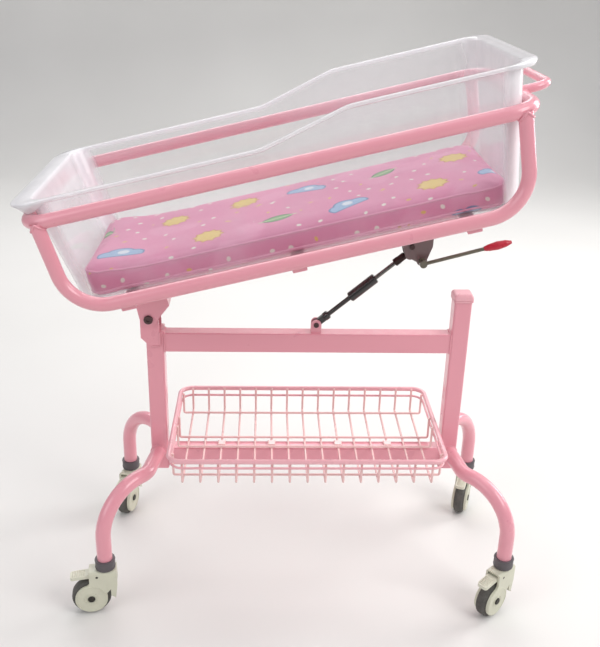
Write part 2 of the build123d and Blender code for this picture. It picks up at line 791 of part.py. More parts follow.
def tub_section(level, shrink):
    """Outline of the tub at a level; the walls widen upwards at a steady draft."""
    draft = tub_floor_inset * (ring_level - level) / (ring_level - tub_floor)
    inset = draft + shrink
    length = tub_head - tub_foot - inset * 2
    width = (tub_wide_y - inset) * 2
    share = (level - tub_floor) / (tub_head_top - tub_floor)
    corner = tub_floor_corner + (tub_corner - tub_floor_corner) * share - shrink
    middle = (tub_head + tub_foot) / 2
    return Pos(middle, 0, level) * RectangleRounded(length, width, corner)


def tub_shell(shrink, bottom, top):
    return loft([tub_section(bottom, shrink), tub_section(top, shrink)], ruled=True)


def above_side_walls(lift):
    """Everything above the walls' top edge, which steps up towards the head end."""
    foot_edge = ring_foot + step_start
    head_edge = foot_edge + step_length
    far = ring_head_reach * 2
    high = tub_head_top + tub_foot_top
    outline = polygon(
        (-far, tub_foot_top + lift), (foot_edge, tub_foot_top + lift), (head_edge, tub_head_top + lift),
        (far, tub_head_top + lift), (far, high), (-far, high))
    return plate_xz(outline, -ring_width, ring_width)


rim_out = 5.0
foot_lip = 31.0
head_lip = 21.0


def rim_flange(level, foot, head, half_y, keep_from, keep_to):
    """Flat flange round one end of the rim, kept between two places along the tub."""
    plate = Pos((foot + head) / 2, 0, level - tub_wall) * extrude(
        RectangleRounded(head - foot, half_y * 2, tub_corner + rim_out), tub_wall)
    return plate & span(keep_from, keep_to, -ring_width, ring_width, level - tub_wall * 2, level + tub_wall)


def foot_hook():
    """Sloping skirt under the foot flange that lies on the ring."""
    tip = tub_foot - foot_lip
    hook = ring_foot - tub_wall
    low = ring_top + seat_gap
    outline = polygon((tip, tub_foot_top), (hook, low), (hook + tub_wall, low), (tip + tub_wall * 2, tub_foot_top))
    half = tub_wide_y - tub_corner
    return plate_xz(outline, -half, half)


def tub():
    """Clear tub: drafted walls, a stepped rim with a rolled edge, and a flange at each end."""
    top = tub_head_top + overrun
    foot_edge = ring_foot + step_start
    head_edge = foot_edge + step_length
    outer = tub_shell(0, tub_floor, top) - above_side_walls(0)
    inner = tub_shell(tub_wall, tub_floor + tub_wall, top + overrun)
    outer = fillet(outer.edges().sort_by(Axis.Z)[:8], tub_wall * 2)
    bead = tub_shell(-rim_out, ring_top + seat_gap, top) - above_side_walls(0)
    below_bead = tub_shell(-rim_out - overrun, ring_level, top) - above_side_walls(0)
    bead = bead - Pos(0, 0, -rim_out) * below_bead
    draft_share = (tub_head_top - ring_level) / (ring_level - tub_floor)
    head_half = tub_wide_y + tub_floor_inset * draft_share + rim_out
    foot_flange = rim_flange(tub_foot_top, tub_foot - foot_lip, head_edge, tub_wide_y + rim_out * 2,
                             tub_foot - foot_lip - overrun, tub_foot + tub_corner)
    head_flange = rim_flange(tub_head_top, foot_edge, tub_head + tub_floor_inset * draft_share + head_lip, head_half,
                             tub_head - tub_corner, tub_head + tub_corner * 2)
    return outer + bead + foot_flange + head_flange + foot_hook() - inner


def mattress():
    """Foam pad with a low crown, drawn-in sides and rounded edges."""
    crown = 5.0
    waist_share = 0.0044
    edge = 6.0
    base = tub_floor + tub_wall + seat_gap
    top = base + mattress_thickness
    inset = tub_floor_inset + tub_wall + mattress_play
    foot = tub_foot + inset
    head = tub_head - inset
    half_y = tub_wide_y - inset
    middle = (foot + head) / 2
    half_x = (head - foot) / 2
    corner = tub_floor_corner
    waist_y = waist_share * (half_x - corner) * 2
    waist_x = waist_share * (half_y - corner) * 2
    sides = [
        ThreePointArc((-half_x + corner, -half_y), (0, -half_y + waist_y), (half_x - corner, -half_y)),
        ThreePointArc((half_x, -half_y + corner), (half_x - waist_x, 0), (half_x, half_y - corner)),
        ThreePointArc((half_x - corner, half_y), (0, half_y - waist_y), (-half_x + corner, half_y)),
        ThreePointArc((-half_x, half_y - corner), (-half_x + waist_x, 0), (-half_x, -half_y + corner)),
    ]
    # Each corner is tangent to both sides, so that the rounding of the top runs all the way round
    quarter_turn = pi / 2 + atan(waist_share * 2) * 4
    bend = corner * hypot(1, 1) / sin(quarter_turn / 2) / 2
    corners = [RadiusArc(sides[i] @ 1, sides[(i + 1) % 4] @ 0, -bend) for i in range(4)]
    loop = [edge_line for pair in zip(sides, corners) for edge_line in pair]
    plan = make_face(Wire([piece.edge() for piece in loop]))
    block = Pos(middle, 0, base) * extrude(plan, mattress_thickness)
    over_y = half_y + overrun
    end_view = make_face(Wire([
        Line((-over_y, base), (over_y, base)).edge(), Line((over_y, base), (over_y, top - crown)).edge(),
        ThreePointArc((over_y, top - crown), (0, top), (-over_y, top - crown)).edge(),
        Line((-over_y, top - crown), (-over_y, base)).edge()]))
    crowned = extrude(Plane.YZ * end_view, head + overrun, both=True)
    pad = block & crowned
    upper_edges = [line for line in pad.edges() if line.center().Z > top - crown * 2]
    return fillet(upper_edges, edge)


# Collect every node

def as_list(shapes):
    return shapes if isinstance(shapes, list) else [shapes]


ring_solid = ring_loop(ring_diameter / 2)
nodes = {
    "foot_post": post(-1, foot_post_top),
    "head_post": post(1, head_post_top),
    "head_post_cap": head_post_cap(),
    "cross_bar": bar_between_posts(bar_top - bar_height / 2),
    "lower_rail": bar_between_posts(rail_level),
    "front_foot_leg": leg(-1, -1),
    "front_head_leg": leg(1, -1),
    "back_foot_leg": leg(-1, 1),
    "back_head_leg": leg(1, 1),
    "pivot_brackets": pivot_brackets(),
    "pivot_bolt": pivot_bolt(),
    "spring_lug": spring_lug(),
    "spring_lower_bolt": spring_lower_bolt(),
    "stem_collars": stem_collars(),
    "basket_rim": basket_rim(),
    "basket_cross_wires": cross_wires(),
    "basket_long_wires": long_wires(),
    "basket_clips": basket_clips(),
}

cradle_nodes = {
    "cradle_ring": ring_loop(ring_diameter / 2, cradle_tube_wall),
    "front_hoop": hoop(-1) - ring_solid,
    "back_hoop": hoop(1) - ring_solid,
    "cross_tubes": cross_tubes(),
    "centre_rail": centre_rail(),
    "tilt_lug": tilt_lug(),
    "push_handle": push_handle(),
    "spring_bracket": spring_bracket(),
    "spring_bracket_bolt": bracket_pin(),
    "release_lever": release_lever(),
    "lever_grip": lever_grip(),
    "bassinet_tub": tub(),
    "mattress": mattress(),
}

spring_nodes = {
    "gas_spring_cylinder": spring_cylinder(),
    "gas_spring_gland": spring_gland(),
    "gas_spring_rod": spring_rod(),
    "gas_spring_rod_end": rod_end(),
}

for name, shapes in cradle_nodes.items():
    nodes[name] = [place_cradle(shape) for shape in as_list(shapes)]
for name, shapes in spring_nodes.items():
    nodes[name] = [place_spring(shape) for shape in as_list(shapes)]

castor_pieces = {
    "fork": fork(),
    "kingpin": kingpin(),
    "axle": axle(),
    "wheel_hub": wheel_hub(),
    "tyre": tyre(),
    "brake_pedal": brake_pedal(),
}
castor_places = {}
for place, heading in castor_angles.items():
    end, side = place.split("_")
    x = stem_x if end == "head" else -stem_x
    y = -stem_y if side == "front" else stem_y
    castor_places[place] = (x, y, heading)
    for piece, shapes in castor_pieces.items():
        nodes[f"{place}_{piece}"] = [Pos(x, y, 0) * Rot(0, 0, heading) * shape for shape in as_list(shapes)]

solids = {name: [solid for shape in as_list(shapes) for solid in shape.solids()]
          for name, shapes in nodes.items()}
boxes = [solid.bounding_box() for group in solids.values() for solid in group]
low_x = min(box.min.X for box in boxes)
high_x = max(box.max.X for box in boxes)
low_y = min(box.min.Y for box in boxes)
high_y = max(box.max.Y for box in boxes)
shift_x = -(low_x + high_x) / 2
shift_y = -(low_y + high_y) / 2

for name, group in solids.items():
    placed = [Pos(shift_x, shift_y, 0) * solid for solid in group]
    export_step(Compound(children=placed) if len(placed) > 1 else placed[0], f"parts/{name}.step")
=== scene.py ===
import json
import math

import bmesh
import bpy
import numpy as np
from mathutils import Matrix, Vector


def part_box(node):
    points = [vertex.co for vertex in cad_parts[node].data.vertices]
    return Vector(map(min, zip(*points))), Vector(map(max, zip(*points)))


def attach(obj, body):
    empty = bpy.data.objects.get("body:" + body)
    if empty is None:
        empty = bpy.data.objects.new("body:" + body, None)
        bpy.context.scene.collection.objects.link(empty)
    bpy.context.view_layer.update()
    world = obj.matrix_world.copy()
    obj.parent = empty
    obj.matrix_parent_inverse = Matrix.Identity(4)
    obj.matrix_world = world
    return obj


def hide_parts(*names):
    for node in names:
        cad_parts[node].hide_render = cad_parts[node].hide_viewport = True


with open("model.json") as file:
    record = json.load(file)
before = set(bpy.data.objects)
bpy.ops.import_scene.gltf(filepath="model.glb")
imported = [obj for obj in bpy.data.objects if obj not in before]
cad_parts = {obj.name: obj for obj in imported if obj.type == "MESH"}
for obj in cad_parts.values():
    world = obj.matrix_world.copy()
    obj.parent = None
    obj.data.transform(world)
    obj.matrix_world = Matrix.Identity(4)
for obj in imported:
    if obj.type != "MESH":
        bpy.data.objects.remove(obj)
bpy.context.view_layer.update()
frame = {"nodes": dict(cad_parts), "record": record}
nodes = frame["nodes"]
scene = bpy.context.scene

MM = 0.001
TILT = math.radians(14.0)

# Where the base frame's own centre lies in the row frame, read from the foot post, in metres
FOOT_POST_X = -0.296
post_low, post_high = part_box("foot_post")
SHIFT = Vector(((post_low.x + post_high.x) / 2 - FOOT_POST_X, (post_low.y + post_high.y) / 2, 0.0))
PIVOT = Vector((-0.305, 0.0, 0.559)) + SHIFT


# Camera, fitted to the photograph: its place in the base frame in metres, its turn in degrees

CAMERA_PLACE = Vector((-0.0869, -1.5544, 1.2247))
CAMERA_YAW, CAMERA_PITCH, CAMERA_ROLL = 2.6, 23.7, 1.5
FOCAL_PIXELS, PHOTO_HEIGHT, SENSOR = 875.0, 647.0, 36.0


def place_camera():
    """The scene's camera, turned down, aside and about its own axis from a view along +Y."""
    yaw, pitch, roll = (math.radians(angle) for angle in (CAMERA_YAW, CAMERA_PITCH, CAMERA_ROLL))
    ahead = Vector((math.sin(yaw) * math.cos(pitch), math.cos(yaw) * math.cos(pitch), -math.sin(pitch)))
    right = Vector((math.cos(yaw), -math.sin(yaw), 0.0))
    up = right.cross(ahead)
    side = right * math.cos(roll) + up * math.sin(roll)
    top = up * math.cos(roll) - right * math.sin(roll)
    camera = bpy.data.objects.new("camera", bpy.data.cameras.new("camera"))
    scene.collection.objects.link(camera)
    turn = Matrix((side, top, -ahead)).transposed().to_4x4()
    camera.matrix_world = Matrix.Translation(CAMERA_PLACE + SHIFT) @ turn
    camera.data.sensor_width = SENSOR
    camera.data.lens = FOCAL_PIXELS / PHOTO_HEIGHT * SENSOR
    camera.data.clip_start = 0.05
    camera.data.clip_end = 60.0
    scene.camera = camera


place_camera()


# Material helpers

def srgb(r, g, b):
    """Linear colour from 0 to 255 display values."""
    def one(v):
        v = v / 255.0
        return v / 12.92 if v <= 0.04045 else ((v + 0.055) / 1.055) ** 2.4
    return (one(r), one(g), one(b), 1.0)


def shaded(colour, share, lift=0.0):
    """A darker or lighter relative of a colour."""
    return tuple(min(1.0, c * share + lift) for c in colour[:3]) + (1.0,)


class Graph:
    """A small builder of shader nodes."""

    def __init__(self, name):
        self.material = bpy.data.materials.new(name)
        self.material.use_nodes = True
        self.tree = self.material.node_tree
        self.tree.nodes.clear()
        self.output = self.tree.nodes.new("ShaderNodeOutputMaterial")

    def node(self, kind, inputs=None, **settings):
        """A shader node with its inputs linked or set."""
        made = self.tree.nodes.new(kind)
        for key, value in settings.items():
            setattr(made, key, value)
        for key, value in (inputs or {}).items():
            self.put(made.inputs[key], value)
        return made

    def put(self, socket, value):
        """Link a socket or a node to this socket, or set its value."""
        if isinstance(value, bpy.types.NodeSocket):
            self.tree.links.new(value, socket)
        elif isinstance(value, bpy.types.Node):
            self.tree.links.new(value.outputs[0], socket)
        else:
            socket.default_value = value

    def math(self, operation, a, b=0.0, c=0.0, clamp=False):
        made = self.node("ShaderNodeMath", {0: a, 1: b, 2: c}, operation=operation)
        made.use_clamp = clamp
        return made.outputs[0]

    def times(self, a, b):
        return self.math("MULTIPLY", a, b)

    def plus(self, a, b, clamp=False):
        return self.math("ADD", a, b, clamp=clamp)

    def minus(self, a, b):
        return self.math("SUBTRACT", a, b)

    def mix(self, share, a, b):
        """Colour a turned into colour b by a share."""
        made = self.node("ShaderNodeMix", data_type="RGBA")
        self.put(made.inputs[0], share)
        self.put(made.inputs[6], a)
        self.put(made.inputs[7], b)
        return made.outputs[2]

    def ramp(self, value, stops, interpolation="LINEAR"):
        """A value mapped through stops of grey or colour."""
        made = self.node("ShaderNodeValToRGB", {0: value})
        made.color_ramp.interpolation = interpolation
        while len(made.color_ramp.elements) < len(stops):
            made.color_ramp.elements.new(0.5)
        for element, (place, shade) in zip(made.color_ramp.elements, stops):
            element.position = place
            element.color = shade if isinstance(shade, tuple) else (shade, shade, shade, 1.0)
        return made.outputs[0]

    def noise(self, scale, detail=2.0, roughness=0.5, coords=None):
        """Noise over the piece, fixed to its own coordinates."""
        made = self.node("ShaderNodeTexNoise", {"Scale": scale, "Detail": detail, "Roughness": roughness})
        self.put(made.inputs["Vector"], coords or self.coords())
        return made.outputs["Fac"]

    def coords(self):
        """The piece's own coordinates, from one shared node."""
        if not hasattr(self, "_coords"):
            self._coords = self.node("ShaderNodeTexCoord").outputs["Object"]
        return self._coords

    def bump(self, height, strength, distance, normal=None):
        """The normal, bent by a height."""
        made = self.node("ShaderNodeBump", {"Strength": strength, "Distance": distance, "Height": height})
        if normal is not None:
            self.put(made.inputs["Normal"], normal)
        return made.outputs["Normal"]

    def principled(self, **inputs):
        """The standard surface shader, linked to the output."""
        shader = self.node("ShaderNodeBsdfPrincipled")
        for key, value in inputs.items():
            self.put(shader.inputs[key.replace("_", " ")], value)
        self.tree.links.new(shader.outputs[0], self.output.inputs[0])
        return shader


def powder_coat(name, colour, roughness=0.30):
    """Sprayed and baked paint: faint orange peel, slow colour drift, pinholes, dust on what faces up."""
    g = Graph(name)
    drift = g.ramp(g.noise(4.0, 2.0), [(0.3, 0.0), (0.75, 1.0)])
    base = g.mix(g.times(drift, 0.5), colour, shaded(colour, 0.93))
    normal = g.node("ShaderNodeNewGeometry").outputs["Normal"]
    upward = g.node("ShaderNodeSeparateXYZ", {0: normal}).outputs[2]
    settled = g.ramp(g.noise(55.0, 4.0), [(0.4, 0.0), (0.7, 0.12)])
    dust = g.times(g.ramp(upward, [(0.55, 0.0), (1.0, 1.0)]), settled)
    base = g.mix(dust, base, srgb(238, 226, 222))
    pinhole = g.times(g.ramp(g.noise(480.0, 2.0), [(0.70, 0.0), (0.76, 1.0)]), 0.25)
    base = g.mix(pinhole, base, shaded(colour, 0.6))
    gloss = g.ramp(g.noise(25.0, 3.0), [(0.3, roughness - 0.03), (0.7, roughness + 0.05)])
    peel = g.bump(g.noise(1100.0, 1.0), 0.10, 0.0004)
    g.principled(Base_Color=base, Roughness=gloss, Normal=peel, Coat_Weight=0.55, Coat_Roughness=0.10)
    return g.material


def moulded(name, colour, roughness=0.42, grain=700.0, depth=0.14):
    """Moulded plastic: fine grain, slight scuffs and a little soil."""
    g = Graph(name)
    cloud = g.ramp(g.noise(30.0, 4.0), [(0.3, 0.0), (0.8, 0.7)])
    base = g.mix(cloud, colour, shaded(colour, 0.88))
    soil = g.ramp(g.noise(70.0, 5.0, 0.7), [(0.56, 0.0), (0.78, 0.35)])
    base = g.mix(soil, base, shaded(colour, 0.6))
    scuff = g.times(g.ramp(g.noise(320.0, 5.0, 0.7), [(0.60, 0.0), (0.72, 1.0)]), 0.16)
    base = g.mix(scuff, base, shaded(colour, 1.25, 0.05))
    gloss = g.ramp(g.noise(90.0, 3.0), [(0.3, roughness - 0.06), (0.7, roughness + 0.10)])
    g.principled(Base_Color=base, Roughness=gloss, Normal=g.bump(g.noise(grain, 3.0), depth, 0.0004))
    return g.material


def bare_metal(name, colour, roughness=0.28, brush=(40.0, 40.0, 900.0), depth=0.12):
    """Plated or polished steel with fine drawn lines and faint tarnish."""
    g = Graph(name)
    stretched = g.node("ShaderNodeMapping", {"Vector": g.coords(), "Scale": brush}).outputs[0]
    lines = g.noise(1.0, 4.0, 0.6, stretched)
    tarnish = g.ramp(g.noise(60.0, 4.0), [(0.35, 0.0), (0.8, 1.0)])
    base = g.mix(tarnish, colour, shaded(colour, 0.6))
    gloss = g.ramp(lines, [(0.3, roughness - 0.08), (0.7, roughness + 0.12)])
    g.principled(Base_Color=base, Metallic=1.0, Roughness=gloss, Normal=g.bump(lines, depth, 0.0003))
    return g.material


def rubber(name, colour):
    """Grey tyre rubber with dust and small marks."""
    g = Graph(name)
    dust = g.ramp(g.noise(45.0, 5.0, 0.65), [(0.35, 0.0), (0.75, 1.0)])
    base = g.mix(dust, colour, shaded(colour, 1.7, 0.02))
    marks = g.ramp(g.noise(420.0, 3.0), [(0.55, 0.0), (0.7, 1.0)])
    base = g.mix(g.times(marks, 0.35), base, shaded(colour, 0.5))
    g.principled(Base_Color=base, Roughness=0.72, Normal=g.bump(g.noise(600.0, 4.0), 0.35, 0.0005))
    return g.material


def clear_plastic(name):
    """Clear moulded acrylic: see-through face on, milky towards its edges, with sharp reflections on top."""
    g = Graph(name)
    ripple = g.bump(g.noise(7.0, 2.0), 0.08, 0.003)
    facing = g.node("ShaderNodeLayerWeight", {"Blend": 0.5}).outputs["Facing"]
    milky = g.ramp(facing, [(0.0, 0.008), (0.55, 0.03), (0.85, 0.20), (1.0, 0.70)])
    smear = g.ramp(g.noise(16.0, 4.0, 0.6), [(0.45, 0.0), (0.8, 0.05)])
    # The tub's per-point milk share, which also carries a painted highlight on its near head corner
    frosted_and_highlight = g.node("ShaderNodeAttribute", attribute_name="milk_and_highlight").outputs["Fac"]
    uneven = g.times(frosted_and_highlight, g.ramp(g.noise(22.0, 3.0), [(0.3, 0.9), (0.7, 1.05)]))
    share = g.plus(g.plus(milky, smear), uneven, clamp=True)
    scratch = g.ramp(g.noise(900.0, 2.0), [(0.66, 0.0), (0.72, 0.06)])
    share = g.plus(share, scratch, clamp=True)
    through = g.node("ShaderNodeBsdfTransparent", {"Color": (0.99, 0.99, 0.992, 1.0)})
    haze = g.node("ShaderNodeBsdfDiffuse", {"Color": srgb(244, 242, 245), "Normal": ripple})
    body = g.node("ShaderNodeMixShader", {0: share, 1: through, 2: haze})
    shine = g.node("ShaderNodeBsdfGlossy", {"Roughness": 0.05, "Normal": ripple})
    mirror = g.math("MULTIPLY_ADD", g.math("POWER", facing, 5.0), 0.80, 0.035)
    g.put(g.output.inputs[0], g.node("ShaderNodeMixShader", {0: mirror, 1: body, 2: shine}))
    return g.material


PINK = srgb(232, 156, 169)
CREAM = srgb(211, 210, 190)

slot_materials = {
    "frame_paint": powder_coat("frame_paint", PINK),
    "cap_plastic": moulded("cap_plastic", srgb(238, 178, 187), 0.32),
    "bolt_steel": bare_metal("bolt_steel", srgb(96, 78, 78), 0.36),
    "collar_plastic": moulded("collar_plastic", srgb(92, 86, 90), 0.45),
    "rim_coat": powder_coat("rim_coat", srgb(238, 178, 186), 0.28),
    "wire_coat": powder_coat("wire_coat", srgb(238, 196, 194), 0.28),
    "bracket_paint": powder_coat("bracket_paint", srgb(112, 88, 88), 0.36),
    "tub_clear": clear_plastic("tub_clear"),
    "mattress_cover": moulded("mattress_cover", srgb(200, 140, 166), 0.8),
    "spring_paint": powder_coat("spring_paint", srgb(34, 31, 29), 0.22),
    "rod_steel": bare_metal("rod_steel", srgb(120, 118, 114), 0.18, (30.0, 30.0, 30.0), 0.03),
    "rod_end_metal": bare_metal("rod_end_metal", srgb(66, 54, 52), 0.38),
    "lever_paint": powder_coat("lever_paint", srgb(98, 92, 76), 0.34),
    "grip_plastic": moulded("grip_plastic", srgb(190, 36, 56), 0.3, 500.0, 0.12),
    "castor_plastic": moulded("castor_plastic", CREAM, 0.34),
    "pedal_plastic": moulded("pedal_plastic", srgb(216, 215, 196), 0.34),
    "hub_plastic": moulded("hub_plastic", srgb(184, 182, 164), 0.5),
    "axle_steel": bare_metal("axle_steel", srgb(74, 72, 68), 0.42),
    "tyre_rubber": rubber("tyre_rubber", srgb(74, 72, 68)),
}

for entry in frame["record"]["subparts"]:
    node = nodes[entry["node"]]
    node.data.materials.clear()
    node.data.materials.append(slot_materials[entry["material_slot"]])


# Pieces drawn in the cradle's own axes: along it, across it and above the tilt bolt

CRADLE = Matrix.Translation(PIVOT) @ Matrix.Rotation(-TILT, 4, "Y")


def cradle_object(name, points, faces, body, slot_name, smooth=True, material=None):
    """A mesh in the cradle's own axes, in millimetres, set in place and riding on a body."""
    mesh = bpy.data.meshes.new(name)
    mesh.from_pydata([tuple(c * MM for c in p) for p in points], [], faces)
    mesh.validate()
    mesh.materials.append(material or slot_materials[slot_name])
    made = bpy.data.objects.new(name, mesh)
    scene.collection.objects.link(made)
    made.matrix_world = CRADLE
    for polygon in mesh.polygons:
        polygon.use_smooth = smooth
    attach(made, body)
    return made


def base_object(name, points, faces, body, slot_name, place=None):
    """The same in the row frame, or in the frame of a given matrix."""
    made = cradle_object(name, points, faces, body, slot_name)
    made.matrix_world = place or Matrix()
    return made


def quads(first, second, count):
    """Faces between two rings of count points, given by where each ring begins."""
    return [(first + i, first + (i + 1) % count, second + (i + 1) % count, second + i) for i in range(count)]


def bead_mesh(path, radius, closed=True, ripple=0.0, sides=8):
    """A round bead along a path; ripple swells it at each step, as a weld does."""
    count = len(path)
    points, faces = [], []
    normal = None
    for i, p in enumerate(path):
        before = path[i - 1] if closed or i else p
        after = path[(i + 1) % count] if closed or i < count - 1 else p
        ahead = (after - before).normalized()
        normal = normal or ahead.orthogonal()
        normal = (normal - ahead * normal.dot(ahead)).normalized()
        side = ahead.cross(normal)
        swell = radius * (1.0 + ripple * math.cos(math.pi * i))
        for k in range(sides):
            turn = 2.0 * math.pi * k / sides
            points.append(p + (normal * math.cos(turn) + side * math.sin(turn)) * swell)
    for i in range(count if closed else count - 1):
        faces += quads(i * sides, (i + 1) % count * sides, sides)
    if not closed:
        faces += [tuple(range(sides - 1, -1, -1)), tuple(range((count - 1) * sides, count * sides))]
    return points, faces


def merge(meshes):
    """One list of points and faces from several."""
    points, faces = [], []
    for some_points, some_faces in meshes:
        begin = len(points)
        points += some_points
        faces += [tuple(begin + i for i in face) for face in some_faces]
    return points, faces


def circle(centre, axis, radius, count):
    """Points of a circle round an axis."""
    centre, axis = Vector(centre), Vector(axis).normalized()
    a = axis.orthogonal().normalized()
    b = axis.cross(a)
    return [centre + (a * math.cos(t) + b * math.sin(t)) * radius
            for t in (2.0 * math.pi * k / count for k in range(count))]


def fix_normals(obj):
    """Turn every face outwards."""
    work = bmesh.new()
    work.from_mesh(obj.data)
    bmesh.ops.recalc_face_normals(work, faces=work.faces)
    work.to_mesh(obj.data)
    work.free()


# Tub, in the cradle's own axes

FLOOR, RING_LEVEL = 103.3, 269.0
FOOT_RIM, HEAD_RIM = 303.0, 340.0
STEP_START, STEP_LENGTH, STEP_SOFTNESS = 292.0, 146.0, 0.0012
TUB_MIDDLE, TUB_HALF_LENGTH, TUB_HALF_WIDTH = 311.0, 402.0, 185.0
TUB_WALL, FLOOR_BEND, FLOOR_INSET = 4.0, 12.0, 22.0
FLOOR_CORNER, RIM_CORNER, CORNER_REACH = 34.0, 42.0, 40.0

# The rim's reach, drop, lean and thickness along the sides, and what it gains at the foot and the head
SIDE_RIM, FOOT_GAIN, HEAD_GAIN = (7.5, 5.2, 0.0, 2.4), (23.5, 17.2, 14.0, 1.4), (13.5, 3.0, 0.6, 1.4)

# Rows of the section in the rolled rim, and the two beside it
RIM_ROWS, BESIDE_RIM = range(13, 27), (12, 27)

# How milky the near and the far corner are at the head and at the foot; the near corner's high share at the
# head is a painted highlight
HEAD_CORNERS, FOOT_CORNERS = (0.80, 0.10), (0.28, 0.55)

# Levels where the haze grows and where it fades, over what height, and a low band at the head
HAZE_LEVEL, HAZE_RISE = 225.0, 50.0
FADE_LEVEL, FADE_RISE = 235.0, 40.0
BAND_LEVEL, BAND_HALF = 164.0, 14.0


def rounded_outline(half_u, half_y, corner, long_count=52, short_count=16, corner_count=14):
    """Points and outward directions round a rounded rectangle, with the same count for any size."""
    def side(a, b, count, normal):
        return [(tuple(a[i] + (b[i] - a[i]) * k / count for i in (0, 1)), normal) for k in range(count)]

    def bend(cx, cy, start):
        made = []
        for k in range(corner_count):
            turn = math.radians(start + 90.0 * k / corner_count)
            made.append(((cx + corner * math.cos(turn), cy + corner * math.sin(turn)),
                         (math.cos(turn), math.sin(turn))))
        return made

    u, y = half_u - corner, half_y - corner
    ring = side((-u, -half_y), (u, -half_y), long_count, (0.0, -1.0))
    ring += bend(u, -y, -90.0)
    ring += side((half_u, -y), (half_u, y), short_count, (1.0, 0.0))
    ring += bend(u, y, 0.0)
    ring += side((u, half_y), (-u, half_y), long_count, (0.0, 1.0))
    ring += bend(-u, y, 90.0)
    ring += side((-half_u, y), (-half_u, -y), short_count, (-1.0, 0.0))
    ring += bend(-u, -y, 180.0)
    return ring


def tub_outline(level):
    """The shell's outside at a level: drafted walls, and corners that widen upwards."""
    draft = FLOOR_INSET * (RING_LEVEL - level) / (RING_LEVEL - FLOOR)
    corner = FLOOR_CORNER + (RIM_CORNER - FLOOR_CORNER) * (level - FLOOR) / (HEAD_RIM - FLOOR)
    return rounded_outline(TUB_HALF_LENGTH - draft, TUB_HALF_WIDTH - draft, corner, long_count=104)


def soft_step(x):
    """0 below 0, 1 above 1 and a straight rise between, with both bends rounded."""
    def bent(v):
        return 0.5 * (v + math.sqrt(v * v + STEP_SOFTNESS))
    return bent(x) - bent(x - 1.0)


def ease(x):
    """0 below 0, 1 above 1 and an S-curve between."""
    x = min(1.0, max(0.0, x))
    return x * x * (3.0 - 2.0 * x)


def tub_profile(top, lip, drop, shift, skirt):
    """Section of the shell from the floor's underside, round the rim and back to the floor, as (level, out).

    The rim reaches out by lip and hangs down by drop; its skirt leans in by shift and is skirt thick.
    """
    bend_steps, wall_steps = 5, 6
    low, shoulder, inner_edge = FLOOR + FLOOR_BEND, top - 10.0, top - 9.0
    turns = [math.radians(90.0 * k / bend_steps) for k in range(bend_steps + 1)]

    def floor_bend(radius):
        return [(low - radius * math.cos(turn), radius * math.sin(turn) - FLOOR_BEND) for turn in turns]

    rows = floor_bend(FLOOR_BEND)
    rows += [(low + (shoulder - low) * k / wall_steps, 0.0) for k in range(1, wall_steps)]
    # Out under the lip and down the inside of its skirt
    rows += [(shoulder, 0.0), (top - 6.5, 0.5), (top - 4.6, 1.5), (top - 4.0, max(1.9, lip - skirt - 0.6)),
             (top - 4.0 - (drop - 4.0) * 0.5, lip - skirt - shift * 0.5),
             (top - drop + 0.8, lip - skirt - shift)]
    # Round the skirt's foot and up its outside
    rows += [(top - drop, lip - skirt * 0.5 - shift), (top - drop + 0.8, lip - shift),
             (top - drop * 0.5, lip - shift * 0.5), (top - 2.2, lip), (top - 0.7, lip - 0.7)]
    # Over the top and down the inner wall
    rows += [(top, lip - 2.2), (top, lip * 0.45), (top, -1.4), (top - 0.8, -3.1), (top - 2.6, -3.9),
             (inner_edge, -TUB_WALL)]
    rows += [(inner_edge + (low - inner_edge) * k / wall_steps, -TUB_WALL) for k in range(1, wall_steps)]
    return rows + floor_bend(FLOOR_BEND - TUB_WALL)[::-1]


def tub_milk_and_highlight(u, y, level, normal, row, rows):
    """How milky the shell is at a place: rim, corners and the two ends more than the side walls, with a
    painted highlight down the near corner at the head.
    """
    nu, ny = normal
    corner = (2.0 * abs(nu * ny)) ** 0.8
    high = ease((level - HAZE_LEVEL) / HAZE_RISE)
    if u > 0:
        # The near corner at the head gets a high share: a painted highlight, not haze
        corner *= HEAD_CORNERS[y >= 0]
        low = 1.0 - ease((level - FADE_LEVEL) / FADE_RISE)
        band = max(0.0, 1.0 - abs(level - BAND_LEVEL) / BAND_HALF)
        end = max(0.0, nu) * (0.08 + 0.14 * low + 0.22 * band)
    else:
        corner *= FOOT_CORNERS[y >= 0]
        end = max(0.0, -nu) * (0.14 + 0.24 * high)
    rim = 1.0 if row in RIM_ROWS else 0.35 if row in BESIDE_RIM else 0.0
    rim *= 0.58 + (0.04 * -nu if nu < 0 else -0.38 * nu)
    floor_edge = 0.08 if 2 <= min(row, rows - 1 - row) <= 4 else 0.0
    raised = 0.13 * ease((u + TUB_MIDDLE - STEP_START) / STEP_LENGTH) * high
    return max(0.02 + raised + end + corner, rim, floor_edge)


